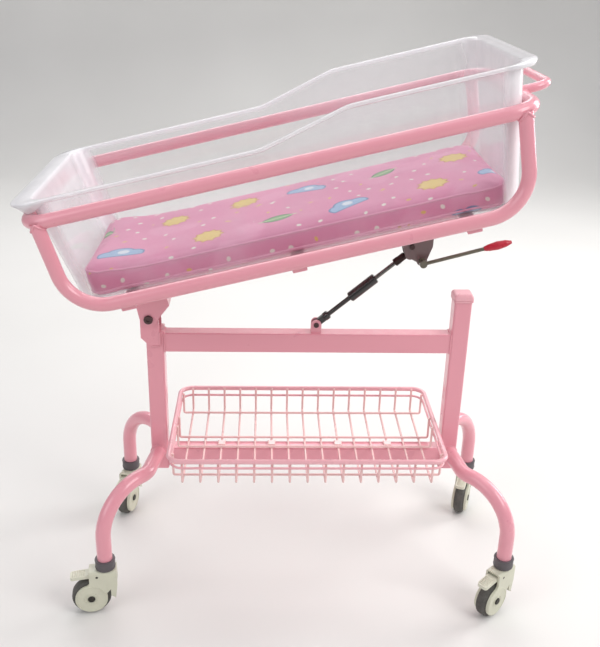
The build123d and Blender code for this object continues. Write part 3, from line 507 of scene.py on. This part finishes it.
def build_tub():
    """The clear tub as one shell: drafted walls, stepped rim, rolled edge and the foot's hooked flange."""
    reference = tub_outline(RING_LEVEL)
    count = len(reference)
    columns = []
    outlines = {}
    for index, ((u, _), _) in enumerate(reference):
        toward_foot = ease((-u - (TUB_HALF_LENGTH - CORNER_REACH)) / (CORNER_REACH * 0.9))
        toward_head = ease((u - (TUB_HALF_LENGTH - CORNER_REACH)) / (CORNER_REACH * 0.9))
        rise = soft_step((u + TUB_MIDDLE - STEP_START) / STEP_LENGTH)
        rim = [side + foot * toward_foot + head * toward_head
               for side, foot, head in zip(SIDE_RIM, FOOT_GAIN, HEAD_GAIN)]
        column = []
        for level, out in tub_profile(FOOT_RIM + (HEAD_RIM - FOOT_RIM) * rise, *rim):
            key = round(level, 3)
            if key not in outlines:
                outlines[key] = tub_outline(level)
            (pu, py), (mu, my) = outlines[key][index]
            column.append((pu + mu * out + TUB_MIDDLE, py + my * out, level))
        columns.append(column)
    rows = len(columns[0])
    points = [p for column in columns for p in column]
    faces = []
    for i in range(count):
        j = (i + 1) % count
        for k in range(rows - 1):
            faces.append((i * rows + k, j * rows + k, j * rows + k + 1, i * rows + k + 1))
    faces.append(tuple(i * rows for i in range(count)))
    faces.append(tuple(i * rows + rows - 1 for i in range(count)))
    tub = cradle_object("clear_tub", points, faces, "tub", "tub_clear")
    fix_normals(tub)
    # Milk shares per point, with the painted highlight on the near head corner
    shares = [min(0.95, tub_milk_and_highlight(u, y, columns[i][row][2], normal, row, rows))
              for i, ((u, y), normal) in enumerate(reference) for row in range(rows)]
    tub.data.attributes.new("milk_and_highlight", "FLOAT", "POINT").data.foreach_set("value", shares)
    for polygon in tub.data.polygons:
        if len(polygon.vertices) > 4:
            polygon.use_smooth = False
    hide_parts("bassinet_tub")


build_tub()


# Mattress, in the cradle's own axes

PAD_BASE, PAD_THICK, PAD_CROWN = 107.6, 45.0, 6.0
PAD_HALF_LENGTH, PAD_HALF_WIDTH, PAD_CORNER = 373.0, 156.0, 32.0
SIDE_WAIST, END_WAIST = 3.0, 2.5        # how far the sides and ends are drawn in between the corners
FOOT_CURL, CURL_LENGTH = 12.0, 125.0    # the top of the foot end is pushed up by the tub's foot wall

# The print: the size of a motif's and of a dot's cell in metres, and the weave's wave in radians per metre
MOTIF_CELL, DOT_CELL, THREADS = 0.132, 0.037, 2900.0


class Print(Graph):
    """Printed cotton: plain generic motifs scattered over the cloth, wrapped down the sides."""

    def below(self, value, edge, soft=0.012):
        """1 where value is under edge, with a soft rim, so that the print's edge isn't jagged."""
        return self.math("MULTIPLY_ADD", self.minus(edge, value), 1.0 / soft, 0.5, clamp=True)

    def length(self, x, y):
        return self.math("SQRT", self.plus(self.times(x, x), self.times(y, y)))

    def disc(self, x, y, cx, cy, radius):
        """Distance outside a disc."""
        return self.minus(self.length(self.minus(x, cx), self.minus(y, cy)), radius)

    def smallest(self, values):
        least = values[0]
        for value in values[1:]:
            least = self.math("MINIMUM", least, value)
        return least

    def cloth_plane(self):
        """Coordinates on the cloth in metres, folded over the pad's long and short edges."""
        place = self.node("ShaderNodeSeparateXYZ", {0: self.coords()})
        normal = self.node("ShaderNodeSeparateXYZ", {0: self.node("ShaderNodeTexCoord").outputs["Normal"]})
        u, v, w = place.outputs
        deep = self.minus((PAD_BASE + PAD_THICK) * MM, w)
        long_side = self.math("GREATER_THAN", self.math("ABSOLUTE", normal.outputs[1]),
                              self.math("ABSOLUTE", normal.outputs[0]))
        across = self.times(self.math("SIGN", v), self.times(deep, long_side))
        middle = self.minus(u, TUB_MIDDLE * MM)
        along = self.times(self.math("SIGN", middle), self.times(deep, self.minus(1.0, long_side)))
        return self.plus(u, along), self.plus(v, across)

    def cells(self, along, across, size, seed, wander=0.22, turn=1.4):
        """Place within a cell, moved and turned at random, and the cell's own random numbers."""
        x = self.math("MULTIPLY_ADD", along, 1.0 / size, seed * 7.31)
        y = self.math("MULTIPLY_ADD", across, 1.0 / size, seed * 3.17)
        row = self.math("FLOOR", y)
        x = self.math("MULTIPLY_ADD", self.math("MODULO", row, 2.0), 0.5, x)
        cell = self.node("ShaderNodeCombineXYZ", {0: self.math("FLOOR", x), 1: row, 2: float(seed)})
        chance = self.node("ShaderNodeTexWhiteNoise", {"Vector": cell.outputs[0]}, noise_dimensions="3D")
        dice = self.node("ShaderNodeSeparateXYZ", {0: chance.outputs["Color"]}).outputs
        x = self.minus(self.math("FRACT", x), 0.5)
        y = self.minus(self.math("FRACT", y), 0.5)
        x = self.math("MULTIPLY_ADD", self.minus(dice[0], 0.5), -wander, x)
        y = self.math("MULTIPLY_ADD", self.minus(dice[1], 0.5), -wander, y)
        angle = self.times(self.minus(dice[2], 0.5), turn)
        cosine, sine = self.math("COSINE", angle), self.math("SINE", angle)
        turned_x = self.minus(self.times(x, cosine), self.times(y, sine))
        turned_y = self.plus(self.times(x, sine), self.times(y, cosine))
        return turned_x, turned_y, chance.outputs["Value"], dice

    def between(self, value, low, high):
        """1 where value lies between low and high."""
        return self.times(self.math("GREATER_THAN", value, low), self.math("LESS_THAN", value, high))

    def motif(self, ground, chosen, layers):
        """The cloth with one kind of motif on it, in layers of a distance, its edge and a colour."""
        for distance, edge, colour in layers:
            ground = self.mix(self.times(chosen, self.below(distance, edge)), ground, colour)
        return ground


def cloud_distance(g, x, y):
    """Three puffs over a flat underside."""
    puffs = [g.disc(x, y, -0.15, 0.0, 0.11), g.disc(x, y, 0.0, 0.06, 0.15), g.disc(x, y, 0.15, 0.0, 0.12)]
    return g.math("MAXIMUM", g.smallest(puffs), g.minus(-0.06, y))


def leaf_distances(g, x, y):
    """A pointed leaf, where two discs overlap, and its middle vein."""
    leaf = g.math("MAXIMUM", g.disc(x, y, 0.0, 0.17, 0.26), g.disc(x, y, 0.0, -0.17, 0.26))
    vein = g.math("MAXIMUM", g.minus(g.math("ABSOLUTE", y), 0.012), g.minus(g.math("ABSOLUTE", x), 0.26))
    return leaf, vein


def star_distance(g, x, y, sharpness=0.96):
    """A star with five rounded points."""
    def spread(value):
        return g.math("COSINE", g.times(g.math("ARCSINE", value), 0.4))

    wave = g.math("COSINE", g.times(g.math("ARCTAN2", y, x), 5.0))
    points = g.math("DIVIDE", spread(sharpness), spread(g.times(wave, sharpness)))
    return g.minus(g.length(x, y), g.times(g.math("POWER", points, 1.6), 0.20))


def printed_cotton():
    """The mattress cover: a mottled ground, scattered motifs, small dots between them and a plain weave."""
    g = Print("mattress_print")
    along, across = g.cloth_plane()
    mottle = g.ramp(g.noise(5.0, 3.0), [(0.3, 0.0), (0.75, 1.0)])
    ground = g.mix(mottle, srgb(216, 132, 166), srgb(206, 121, 157))

    # Broad pale drifts under the motifs
    drift = g.ramp(g.noise(7.5, 1.0), [(0.56, 0.0), (0.60, 1.0)])
    ground = g.mix(g.times(drift, 0.35), ground, srgb(228, 162, 190))

    # Clouds, leaves, stars and ringed dots, one kind to a cell
    x, y, kind, _ = g.cells(along, across, MOTIF_CELL, 1.0)
    cloud = cloud_distance(g, x, y)
    ground = g.motif(ground, g.between(kind, 0.0, 0.30), [
        (cloud, 0.025, srgb(84, 122, 164)), (cloud, 0.0, srgb(138, 172, 204)),
        (g.disc(x, y, 0.03, 0.07, 0.07), 0.0, srgb(206, 216, 224))])
    leaf, vein = leaf_distances(g, x, y)
    ground = g.motif(ground, g.between(kind, 0.30, 0.55), [
        (leaf, 0.02, srgb(62, 108, 80)), (leaf, 0.0, srgb(112, 158, 104)), (vein, 0.0, srgb(190, 204, 160))])
    star = star_distance(g, x, y)
    ground = g.motif(ground, g.between(kind, 0.55, 0.80), [
        (star, 0.022, srgb(186, 118, 60)), (star, 0.0, srgb(216, 188, 96))])
    ring = g.minus(g.length(x, y), 0.15)
    ground = g.motif(ground, g.between(kind, 0.80, 1.01), [
        (ring, 0.0, srgb(218, 208, 196)), (ring, -0.055, srgb(188, 84, 96)),
        (ring, -0.10, srgb(220, 196, 116))])

    # Small dots and dashes between them
    dot_x, dot_y, small, dice = g.cells(along, across, DOT_CELL, 2.0, wander=0.5, turn=6.0)
    stretched = g.times(dot_y, g.math("MULTIPLY_ADD", small, 1.4, 1.0))
    dot = g.minus(g.length(dot_x, stretched), 0.12)
    seen = g.times(g.math("LESS_THAN", dice[0], 0.62), g.below(dot, 0.0, soft=0.03))
    clear = g.times(seen, g.math("GREATER_THAN", g.length(x, y), 0.33))
    tint = g.ramp(small, [(0.0, srgb(220, 214, 204)), (0.35, srgb(210, 172, 78)), (0.6, srgb(126, 164, 194)),
                          (0.8, srgb(220, 214, 204))], "CONSTANT")
    ground = g.mix(clear, ground, tint)

    # Plain weave, as threads across each other
    warp = g.math("SINE", g.times(along, THREADS))
    weft = g.math("SINE", g.times(across, THREADS))
    cloth = g.times(g.plus(warp, weft), 0.25)
    slub = g.noise(260.0, 3.0, 0.6)
    ground = g.mix(g.math("MULTIPLY_ADD", cloth, 0.10, 0.06, clamp=True), ground, srgb(136, 84, 112))
    faded = g.times(g.ramp(g.noise(18.0, 4.0), [(0.45, 0.0), (0.8, 1.0)]), 0.14)
    ground = g.mix(faded, ground, srgb(214, 184, 198))
    wrinkle = g.node("ShaderNodeMapping", {"Vector": g.coords(), "Scale": (9.0, 26.0, 9.0)}).outputs[0]
    folds = g.bump(g.noise(1.0, 3.0, 0.55, wrinkle), 0.35, 0.004)
    weave = g.bump(g.plus(cloth, g.times(slub, 0.8)), 0.30, 0.0004, folds)
    g.principled(Base_Color=ground, Roughness=0.82, Normal=weave, Sheen_Weight=0.25, Sheen_Roughness=0.5)
    return g.material


def piping_cloth():
    """Twisted cord in the cover's own pink."""
    g = Graph("mattress_piping")
    mottle = g.ramp(g.noise(60.0, 3.0), [(0.3, 0.0), (0.8, 1.0)])
    base = g.mix(mottle, srgb(226, 156, 184), srgb(212, 140, 170))
    wave = {"Vector": g.coords(), "Scale": 230.0, "Distortion": 1.5, "Detail": 2.0}
    twist = g.node("ShaderNodeTexWave", wave, bands_direction="DIAGONAL")
    base = g.mix(g.times(twist.outputs["Fac"], 0.3), base, srgb(190, 116, 150))
    relief = g.bump(twist.outputs["Fac"], 0.5, 0.0005)
    g.principled(Base_Color=base, Roughness=0.8, Normal=relief, Sheen_Weight=0.2)
    return g.material


def drawn_in(u, y, nu, ny):
    """A place on the pad's outline, moved inwards between the corners."""
    by_u = END_WAIST * (1.0 - (y / PAD_HALF_WIDTH) ** 2) * abs(nu) if abs(nu) > 0.5 else 0.0
    by_y = SIDE_WAIST * (1.0 - (u / PAD_HALF_LENGTH) ** 2) * abs(ny) if abs(ny) > 0.5 else 0.0
    return u - math.copysign(by_u, nu), y - math.copysign(by_y, ny)


def pad_start(grow):
    """The pad before it is stuffed: crowned on top, drawn in between its rounded corners."""
    rows, side_bulge, top_crown = 9, 1.5, 3.5
    side_foot, side_height = PAD_BASE + 1.0, PAD_THICK - 6.0
    outline = rounded_outline(PAD_HALF_LENGTH, PAD_HALF_WIDTH, PAD_CORNER)
    count = len(outline)
    points, faces = [], []
    for k in range(rows):
        share = k / (rows - 1)
        bulge = side_bulge * math.sin(math.pi * share) + grow
        for place, (nu, ny) in outline:
            u, y = drawn_in(*place, nu, ny)
            points.append((TUB_MIDDLE + u + nu * bulge, y + ny * bulge, side_foot + side_height * share))
    for k in range(rows - 1):
        faces += quads(k * count, (k + 1) * count, count)
    # Close the top and bottom with shrinking rings, the top one crowned
    for start, direction in ((0, -1), ((rows - 1) * count, 1)):
        previous = start
        for share in (0.97, 0.9, 0.78, 0.6, 0.4, 0.2):
            begin = len(points)
            for i in range(count):
                u, y, w = points[start + i]
                rise = top_crown * (1.0 - share ** 2.4) if direction > 0 else 0.0
                points.append((TUB_MIDDLE + (u - TUB_MIDDLE) * share, y * share, w + rise))
            faces += [quad[::direction] for quad in quads(previous, begin, count)]
            previous = begin
        faces.append(tuple(range(previous, previous + count))[::direction])
    return points, faces


def stuff(obj, pressure, cap, frames=20):
    """Cloth simulation under pressure; no point moves further than cap, in metres."""
    before = np.zeros(len(obj.data.vertices) * 3)
    obj.data.vertices.foreach_get("co", before)
    cloth = obj.modifiers.new("stuffing", "CLOTH")
    settings = cloth.settings
    settings.quality = 6
    settings.use_pressure = True
    settings.uniform_pressure_force = pressure
    settings.effector_weights.gravity = 0.0
    settings.tension_stiffness = 18.0
    settings.compression_stiffness = 18.0
    settings.shear_stiffness = 8.0
    settings.bending_stiffness = 0.6
    cloth.collision_settings.use_collision = False
    for number in range(1, frames + 1):
        scene.frame_set(number)
    graph = bpy.context.evaluated_depsgraph_get()
    after = np.zeros(len(before))
    obj.evaluated_get(graph).data.vertices.foreach_get("co", after)
    obj.modifiers.remove(cloth)
    scene.frame_set(1)
    moved = (after - before).reshape(-1, 3)
    far = np.linalg.norm(moved, axis=1, keepdims=True)
    moved *= np.minimum(1.0, cap / np.maximum(far, 1e-9))
    obj.data.vertices.foreach_set("co", before + moved.ravel())
    obj.data.update()


def foot_curl(u, level):
    """How far the pad is lifted at a place: the top of its foot end is pushed up, the underside lies flat."""
    share = min(1.0, max(0.0, (level - PAD_BASE) / PAD_THICK))
    return FOOT_CURL * share * ease((TUB_MIDDLE - PAD_HALF_LENGTH + CURL_LENGTH - u) / CURL_LENGTH)


def add_piping(pad):
    """Corded seams round the pad's top and bottom edges, laid on the stuffed surface."""
    reach, cord_radius = 4.0, 2.0
    sizes = (side + reach for side in (PAD_HALF_LENGTH, PAD_HALF_WIDTH, PAD_CORNER))
    outline = rounded_outline(*sizes, 110, 46, 14)
    cords = []
    for level in (PAD_BASE + 3.5, PAD_BASE + PAD_THICK - 3.0):
        seam = []
        for (u, y), _ in outline:
            place = Vector((TUB_MIDDLE + u, y, level + foot_curl(TUB_MIDDLE + u, level))) * MM
            _, point, _, _ = pad.closest_point_on_mesh(place)
            seam.append(point / MM)
        cords.append(bead_mesh(seam, cord_radius))
    cradle_object("mattress_piping", *merge(cords), "mattress", "mattress_cover", material=piping_cloth())


def build_mattress():
    """The pad, stuffed by a cloth simulation, with its print and piping."""
    points, faces = pad_start(grow=-2.0)
    pad = cradle_object("mattress_pad", points, faces, "mattress", "mattress_cover")
    fix_normals(pad)
    remesh = pad.modifiers.new("even", "REMESH")
    remesh.mode = "VOXEL"
    remesh.voxel_size = 0.0055
    graph = bpy.context.evaluated_depsgraph_get()
    even = bpy.data.meshes.new_from_object(pad.evaluated_get(graph))
    pad.modifiers.clear()
    pad.data = even
    stuff(pad, pressure=4.0, cap=0.006)
    # Flat underneath where it lies on the tub's floor, and inside the space the pad may take
    for vertex in pad.data.vertices:
        level = min(max(vertex.co.z, PAD_BASE * MM), (PAD_BASE + PAD_THICK + PAD_CROWN) * MM)
        vertex.co.z = level + foot_curl(vertex.co.x / MM, level / MM) * MM
    finer = pad.modifiers.new("finer", "SUBSURF")
    finer.levels = finer.render_levels = 1
    pad.data = bpy.data.meshes.new_from_object(pad.evaluated_get(bpy.context.evaluated_depsgraph_get()))
    pad.modifiers.clear()
    for polygon in pad.data.polygons:
        polygon.use_smooth = True
    pad.data.materials.clear()
    pad.data.materials.append(printed_cotton())
    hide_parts("mattress")
    add_piping(pad)


build_mattress()


# Weld beads where the tubes meet, at the sizes of the frame and the cradle in the CAD

POST_HALF, LEG_RADIUS, LEG_LEVEL = 17.0, 14.5, 261.0
KNEE_OUT, KNEE_ALONG = 16.0, 94.0
RING_Y, RING_FOOT, RING_HEAD, CRADLE_TUBE = 199.0, -105.0, 727.0, 12.0
HOOP_INSET, HOOP_LEAN, HOOP_LEVEL = 21.0, 9.0, 109.0
HANDLE_HALF, HANDLE_LIFT, HANDLE_RADIUS = 95.0, 10.0, 7.5
CROSS_PLACES, CROSS_HALF, CROSS_TOP, CROSS_FOOT = (16.8, 309.4, 602.0), 12.5, 103.0, 91.0
RAIL_UNDERSIDE, LUG_FOOT, LUG_HEAD, LUG_HALF = 52.0, -14.0, 46.0, 20.6
BRACKET_FOOT, BRACKET_HEAD, BRACKET_HALF = 498.0, 562.0, 16.0
BEAD, BEAD_RIPPLE, BEAD_OFFSET = 1.9, 0.13, 0.6


def even(path, step=1.3, closed=True):
    """The same path with points at even steps."""
    ends = path + [path[0]] if closed else path
    made = []
    for a, b in zip(ends, ends[1:]):
        count = max(1, round((b - a).length / step))
        made += [a.lerp(b, k / count) for k in range(count)]
    return made if closed else made + [ends[-1]]


def tube_meets(start, ahead, radius, hit, count=72):
    """The loop on a tube's surface where it meets another surface; hit gives the way to go from a point."""
    ahead = Vector(ahead).normalized()
    a = ahead.orthogonal().normalized()
    b = ahead.cross(a)
    loop = []
    for k in range(count):
        turn = 2.0 * math.pi * k / count
        p = Vector(start) + (a * math.cos(turn) + b * math.sin(turn)) * radius
        loop.append(p + ahead * hit(p, ahead))
    return loop


def round_bar_hit(axis_point, axis, radius):
    """Way from a point to a round bar; a line that passes by stops where it is nearest."""
    axis_point, axis = Vector(axis_point), Vector(axis).normalized()

    def way(p, ahead):
        gap = p - axis_point
        gap = gap - axis * gap.dot(axis)
        flat = ahead - axis * ahead.dot(axis)
        a, b, c = flat.dot(flat), gap.dot(flat), gap.dot(gap) - radius * radius
        return (-b - math.sqrt(max(0.0, b * b - a * c))) / a
    return way


def weld(path, closed=True):
    """A rippled bead along a path."""
    return bead_mesh(even([Vector(p) for p in path], closed=closed), BEAD, closed, BEAD_RIPPLE)


def seam_weld(u0, u1, y, level):
    """A straight bead along the bassinet."""
    return weld([(u0, y, level), (u1, y, level)], False)


def cradle_welds():
    """Beads where hoops and handle meet the ring, and along the cross tubes, the lug and the bracket."""
    beads = []
    ring_head = round_bar_hit((RING_HEAD, 0, RING_LEVEL), (0, 1, 0), CRADLE_TUBE)
    meet = RING_Y - math.sqrt(CRADLE_TUBE ** 2 - (HOOP_LEVEL - CROSS_TOP) ** 2)
    for side in (-1.0, 1.0):
        y = side * RING_Y
        ring_side = round_bar_hit((0, y, RING_LEVEL), (1, 0, 0), CRADLE_TUBE)
        for end, lean in ((RING_FOOT + HOOP_INSET, -HOOP_LEAN), (RING_HEAD - HOOP_INSET, HOOP_LEAN)):
            start = (end - lean * 0.5, y, (RING_LEVEL + HOOP_LEVEL) / 2)
            up = (lean, 0.0, RING_LEVEL - HOOP_LEVEL)
            beads.append(weld(tube_meets(start, up, CRADLE_TUBE, ring_side)))
        start = (RING_HEAD + 30.0, side * HANDLE_HALF, RING_LEVEL + HANDLE_LIFT)
        beads.append(weld(tube_meets(start, (-1, 0, 0), HANDLE_RADIUS, ring_head)))
        for place in CROSS_PLACES:
            beads.append(seam_weld(place - CROSS_HALF, place + CROSS_HALF, side * meet, CROSS_TOP))
            beads.append(seam_weld(place - CROSS_HALF, place + CROSS_HALF, y, HOOP_LEVEL - CRADLE_TUBE))
        beads.append(seam_weld(LUG_FOOT + 3.0, LUG_HEAD - 3.0, side * LUG_HALF, RAIL_UNDERSIDE))
        beads.append(seam_weld(BRACKET_FOOT + 2.0, BRACKET_HEAD - 2.0, side * (BRACKET_HALF + BEAD_OFFSET),
                               RAIL_UNDERSIDE - BEAD_OFFSET))
    cradle_object("cradle_welds", *merge(beads), "cradle", "frame_paint")


def block(u0, u1, y0, y1, w0, w1):
    """Points and faces of a block between two corners."""
    points = [(u, y, w) for u in (u0, u1) for y in (y0, y1) for w in (w0, w1)]
    return points, [(0, 1, 3, 2), (4, 6, 7, 5), (0, 4, 5, 1), (2, 3, 7, 6), (0, 2, 6, 4), (1, 5, 7, 3)]


def cross_tube_ends():
    """Plates that close the ends of the cross tubes under the hoops."""
    inset, overlap = 0.4, 0.8
    half = CROSS_HALF - inset
    foot, top = CROSS_FOOT + inset, HOOP_LEVEL - CRADLE_TUBE + overlap
    plates = []
    for place in CROSS_PLACES:
        for side in (-1.0, 1.0):
            y0, y1 = sorted((side * (RING_Y - 1.0), side * (RING_Y + 0.6)))
            plates.append(block(place - half, place + half, y0, y1, foot, top))
    cradle_object("cross_tube_ends", *merge(plates), "cradle", "frame_paint", False)


def base_welds():
    """Beads round the bars' and legs' ends, and along the tilt bracket and the spring's lug."""
    beads = []
    for name in ("cross_bar", "lower_rail"):
        low, high = (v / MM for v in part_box(name))
        middle = (low + high) / 2
        outline = rounded_outline((high.y - low.y) / 2, (high.z - low.z) / 2, 3.0, 20, 20, 4)
        for x in (low.x + 0.4, high.x - 0.4):
            beads.append(weld([(x, middle.y + a, middle.z + b) for (a, b), _ in outline]))
    for name, side in (("foot_post", -1.0), ("head_post", 1.0)):
        low, high = (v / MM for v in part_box(name))
        x, y = (low.x + high.x) / 2, (low.y + high.y) / 2
        for turn in (-1.0, 1.0):
            outwards = Vector((side * KNEE_OUT, turn * KNEE_ALONG, 0.0))
            start = Vector((x, y, LEG_LEVEL)) + outwards * 0.6

            def hit(p, ahead, face=y + turn * POST_HALF):
                return (face - p.y) / ahead.y
            beads.append(weld(tube_meets(start, -outwards, LEG_RADIUS, hit)))
    low, high = (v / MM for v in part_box("pivot_brackets"))
    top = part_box("foot_post")[1].z / MM
    for y in (low.y + BEAD_OFFSET, high.y - BEAD_OFFSET):
        beads.append(weld([(high.x, y, low.z + 2.0), (high.x, y, top - 2.0)], False))
        beads.append(seam_weld(high.x - 2.0, high.x - 15.0, y, low.z))
    low, high = (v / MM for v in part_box("spring_lug"))
    for y in (low.y, high.y):
        beads.append(seam_weld(low.x + 1.0, high.x - 1.0, y, low.z + 0.4))
    base_object("base_welds", *merge(beads), "base", "frame_paint")


cradle_welds()
cross_tube_ends()
base_welds()


# Basket: a spot weld at every crossing of its wires

BASKET_HALF_LENGTH, BASKET_HALF_DEPTH = 265.0, 148.0
RIM_LEVEL, RIM_WIRE, BAND_DROP, MESH_WIRE = 321.0, 9.5, 16.0, 4.5
WIRE_PITCH, WIRE_STEPS = 34.2, range(-7, 8)
LONG_PLACES = tuple(share * 123.0 for share in (-0.98, -0.15, 0.15, 0.98))
BLOB = 3.0


def blob(centre, radius, flat=(1.0, 1.0, 1.0)):
    """A small squashed ball of molten wire."""
    rows, sides = 5, 8
    points = []
    for r in range(rows):
        lift = math.pi * r / (rows - 1)
        for k in range(sides):
            turn = 2.0 * math.pi * k / sides
            unit = (math.sin(lift) * math.cos(turn), math.sin(lift) * math.sin(turn), math.cos(lift))
            points.append(tuple(centre[i] + unit[i] * radius * flat[i] for i in range(3)))
    faces = []
    for r in range(rows - 1):
        for k in range(sides):
            m = (k + 1) % sides
            faces.append((r * sides + k, (r + 1) * sides + k, (r + 1) * sides + m, r * sides + m))
    return points, faces


def basket_welds():
    """A blob at every crossing of the rim, band, cross and lengthwise wires."""
    shift_x, shift_y = SHIFT.x / MM, SHIFT.y / MM
    wire_x = [WIRE_PITCH * step for step in WIRE_STEPS]
    blobs = []

    def spots(xs, ys, level, radius, flat):
        blobs.extend(blob((x + shift_x, y + shift_y, level), radius, flat) for x in xs for y in ys)

    for level in (RIM_LEVEL, RIM_LEVEL - BAND_DROP):
        for side in (-1.0, 1.0):
            spots(wire_x, [side * (BASKET_HALF_DEPTH - RIM_WIRE / 2)], level, BLOB, (1.15, 0.7, 1.0))
            spots([side * (BASKET_HALF_LENGTH - RIM_WIRE / 2)], LONG_PLACES, level, BLOB, (0.7, 1.15, 1.0))
    rail_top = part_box("lower_rail")[1].z / MM
    spots(wire_x, LONG_PLACES, rail_top + MESH_WIRE, BLOB, (1.0, 1.0, 0.6))
    inside_rim = BASKET_HALF_DEPTH - RIM_WIRE / 2 - MESH_WIRE / 2
    for y in (-inside_rim, inside_rim):
        spots(wire_x, [y], RIM_LEVEL, MESH_WIRE / 2, (1.0, 1.0, 0.6))
    base_object("basket_spot_welds", *merge(blobs), "base", "wire_coat")


basket_welds()


# Castors, drawn as in the CAD with the stem on the Z axis and the wheel trailing towards -X

CASTOR_ANGLES = {"foot_front": 8.0, "head_front": 41.0, "foot_back": 75.0, "head_back": 68.0}
TRAIL, AXLE_LEVEL, CHEEK_FACE = 30.0, 37.5, 16.0
COLLAR_RADIUS, COLLAR_FOOT, COLLAR_TOP = 19.0, 99.5, 120.8

# Radius and thickness of each ring round the axle, and how far those of the tyre stand from its middle
CHEEK_RINGS = ((28.3, 0.9), (13.0, 0.8), (9.4, 0.6))
TYRE_SHOULDER, SHOULDER_Y = (31.4, 0.8), 9.7
TYRE_LINE, LINE_Y = (37.05, 0.45), 3.2

# Ribs across the pedal, which slopes down from its root
RIB_COUNT, RIB_START, RIB_PITCH, RIB_HALF, RIB_RADIUS = 6, -42.0, 4.2, 8.5, 1.1
PEDAL_TOP, PEDAL_ROOT, PEDAL_SLOPE = 91.6, 23.0, 4.0 / 45.0


def wheel_ring(y, radius, thick, count):
    """A bead round the wheel's axle."""
    return bead_mesh(circle((-TRAIL, y, AXLE_LEVEL), (0, 1, 0), radius, count), thick)


def castor_details(place, angle):
    """Rings on the cheeks, lines on the tyre, ribs on the pedal and bands on the collar of one castor."""
    low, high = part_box(f"{place}_kingpin")
    set_down = Matrix.Translation(Vector(((low.x + high.x) / 2, (low.y + high.y) / 2, 0.0)))
    turned = set_down @ Matrix.Rotation(math.radians(angle), 4, "Z")
    rings, lines = [], []
    for side in (-1.0, 1.0):
        rings += [wheel_ring(side * CHEEK_FACE, radius, thick, 64) for radius, thick in CHEEK_RINGS]
        lines.append(wheel_ring(side * SHOULDER_Y, *TYRE_SHOULDER, 72))
        lines.append(wheel_ring(side * LINE_Y, *TYRE_LINE, 90))
    base_object(f"{place}_cheek_rings", *merge(rings), f"{place}_castor", "castor_plastic", turned)
    base_object(f"{place}_tyre_lines", *merge(lines), f"{place}_wheel", "tyre_rubber", turned)
    ribs = []
    for step in range(RIB_COUNT):
        x = RIB_START - RIB_PITCH * step
        level = PEDAL_TOP - (abs(x) - PEDAL_ROOT) * PEDAL_SLOPE
        ribs.append(bead_mesh([Vector((x, y, level)) for y in (-RIB_HALF, RIB_HALF)], RIB_RADIUS, False))
    base_object(f"{place}_pedal_ribs", *merge(ribs), f"{place}_pedal", "pedal_plastic", turned)
    bands = [bead_mesh(circle((0, 0, level), (0, 0, 1), COLLAR_RADIUS - 0.2, 56), 0.8)
             for level in (COLLAR_FOOT + 5.0, COLLAR_TOP - 2.0)]
    base_object(f"{place}_collar_bands", *merge(bands), "base", "collar_plastic", set_down)


def rounded_edges(name, width):
    """Moulded edges of a CAD piece, rounded by a modifier that leaves its mesh as it is; width in metres."""
    bevel = nodes[name].modifiers.new("moulded_edges", "BEVEL")
    bevel.width = width
    bevel.segments = 3
    bevel.limit_method = "ANGLE"
    bevel.angle_limit = math.radians(38.0)


for castor_place, castor_angle in CASTOR_ANGLES.items():
    castor_details(castor_place, castor_angle)
    rounded_edges(f"{castor_place}_fork", 0.0013)
    rounded_edges(f"{castor_place}_brake_pedal", 0.0009)


# Studio: pale floor and wall, broad soft lights

def area_light(name, place, target, size, power, tint=(1.0, 1.0, 1.0)):
    """A rectangular light at a place, turned to a target."""
    light = bpy.data.lights.new(name, "AREA")
    light.shape = "RECTANGLE"
    light.size, light.size_y = size
    light.energy = power
    light.color = tint
    lamp = bpy.data.objects.new(name, light)
    lamp.location = place
    lamp.rotation_euler = (Vector(target) - Vector(place)).to_track_quat("-Z", "Y").to_euler()
    scene.collection.objects.link(lamp)


def studio():
    """A pale sweep, with floor, curved rise and back wall in one sheet, five soft lights and a dim sky."""
    g = Graph("studio_paper")
    tone = g.ramp(g.noise(1.2, 2.0), [(0.3, srgb(222, 220, 217)), (0.8, srgb(229, 227, 224))])
    g.principled(Base_Color=tone, Roughness=0.85)
    width, front, back, rise, height = 14.0, -9.0, 3.2, 1.4, 7.0
    profile = [(front, 0.0), (back, 0.0)]
    for step in range(1, 13):
        turn = math.pi / 2 * step / 12
        profile.append((back + rise * math.sin(turn), rise * (1 - math.cos(turn))))
    profile.append((back + rise, height))
    points = [(x, y, z) for y, z in profile for x in (-width, width)]
    faces = [(2 * i, 2 * i + 1, 2 * i + 3, 2 * i + 2) for i in range(len(profile) - 1)]
    mesh = bpy.data.meshes.new("studio_sweep")
    mesh.from_pydata(points, [], faces)
    mesh.validate()
    mesh.materials.append(g.material)
    for polygon in mesh.polygons:
        polygon.use_smooth = True
    sweep = bpy.data.objects.new("studio_sweep", mesh)
    scene.collection.objects.link(sweep)
    area_light("key_light", (2.5, -1.7, 2.9), (0, 0, 0.55), (2.0, 2.0), 68.0, (1.0, 0.99, 0.97))
    area_light("fill_light", (-2.6, -2.0, 2.2), (0, 0, 0.6), (2.4, 2.4), 36.0, (0.99, 0.99, 1.0))
    area_light("top_light", (0.2, 0.4, 3.8), (0, 0, 0.6), (3.0, 2.4), 36.0)
    area_light("back_light", (-0.4, 2.7, 2.7), (0, 0, 0.5), (3.4, 1.4), 52.0)
    area_light("edge_light", (2.8, 1.3, 1.7), (0, 0, 0.7), (1.2, 2.4), 52.0)
    world = bpy.data.worlds.new("studio_world")
    world.use_nodes = True
    sky = world.node_tree.nodes["Background"]
    sky.inputs["Color"].default_value = (0.93, 0.95, 1.0, 1.0)
    sky.inputs["Strength"].default_value = 0.38
    scene.world = world


studio()
scene.view_settings.view_transform = "Standard"
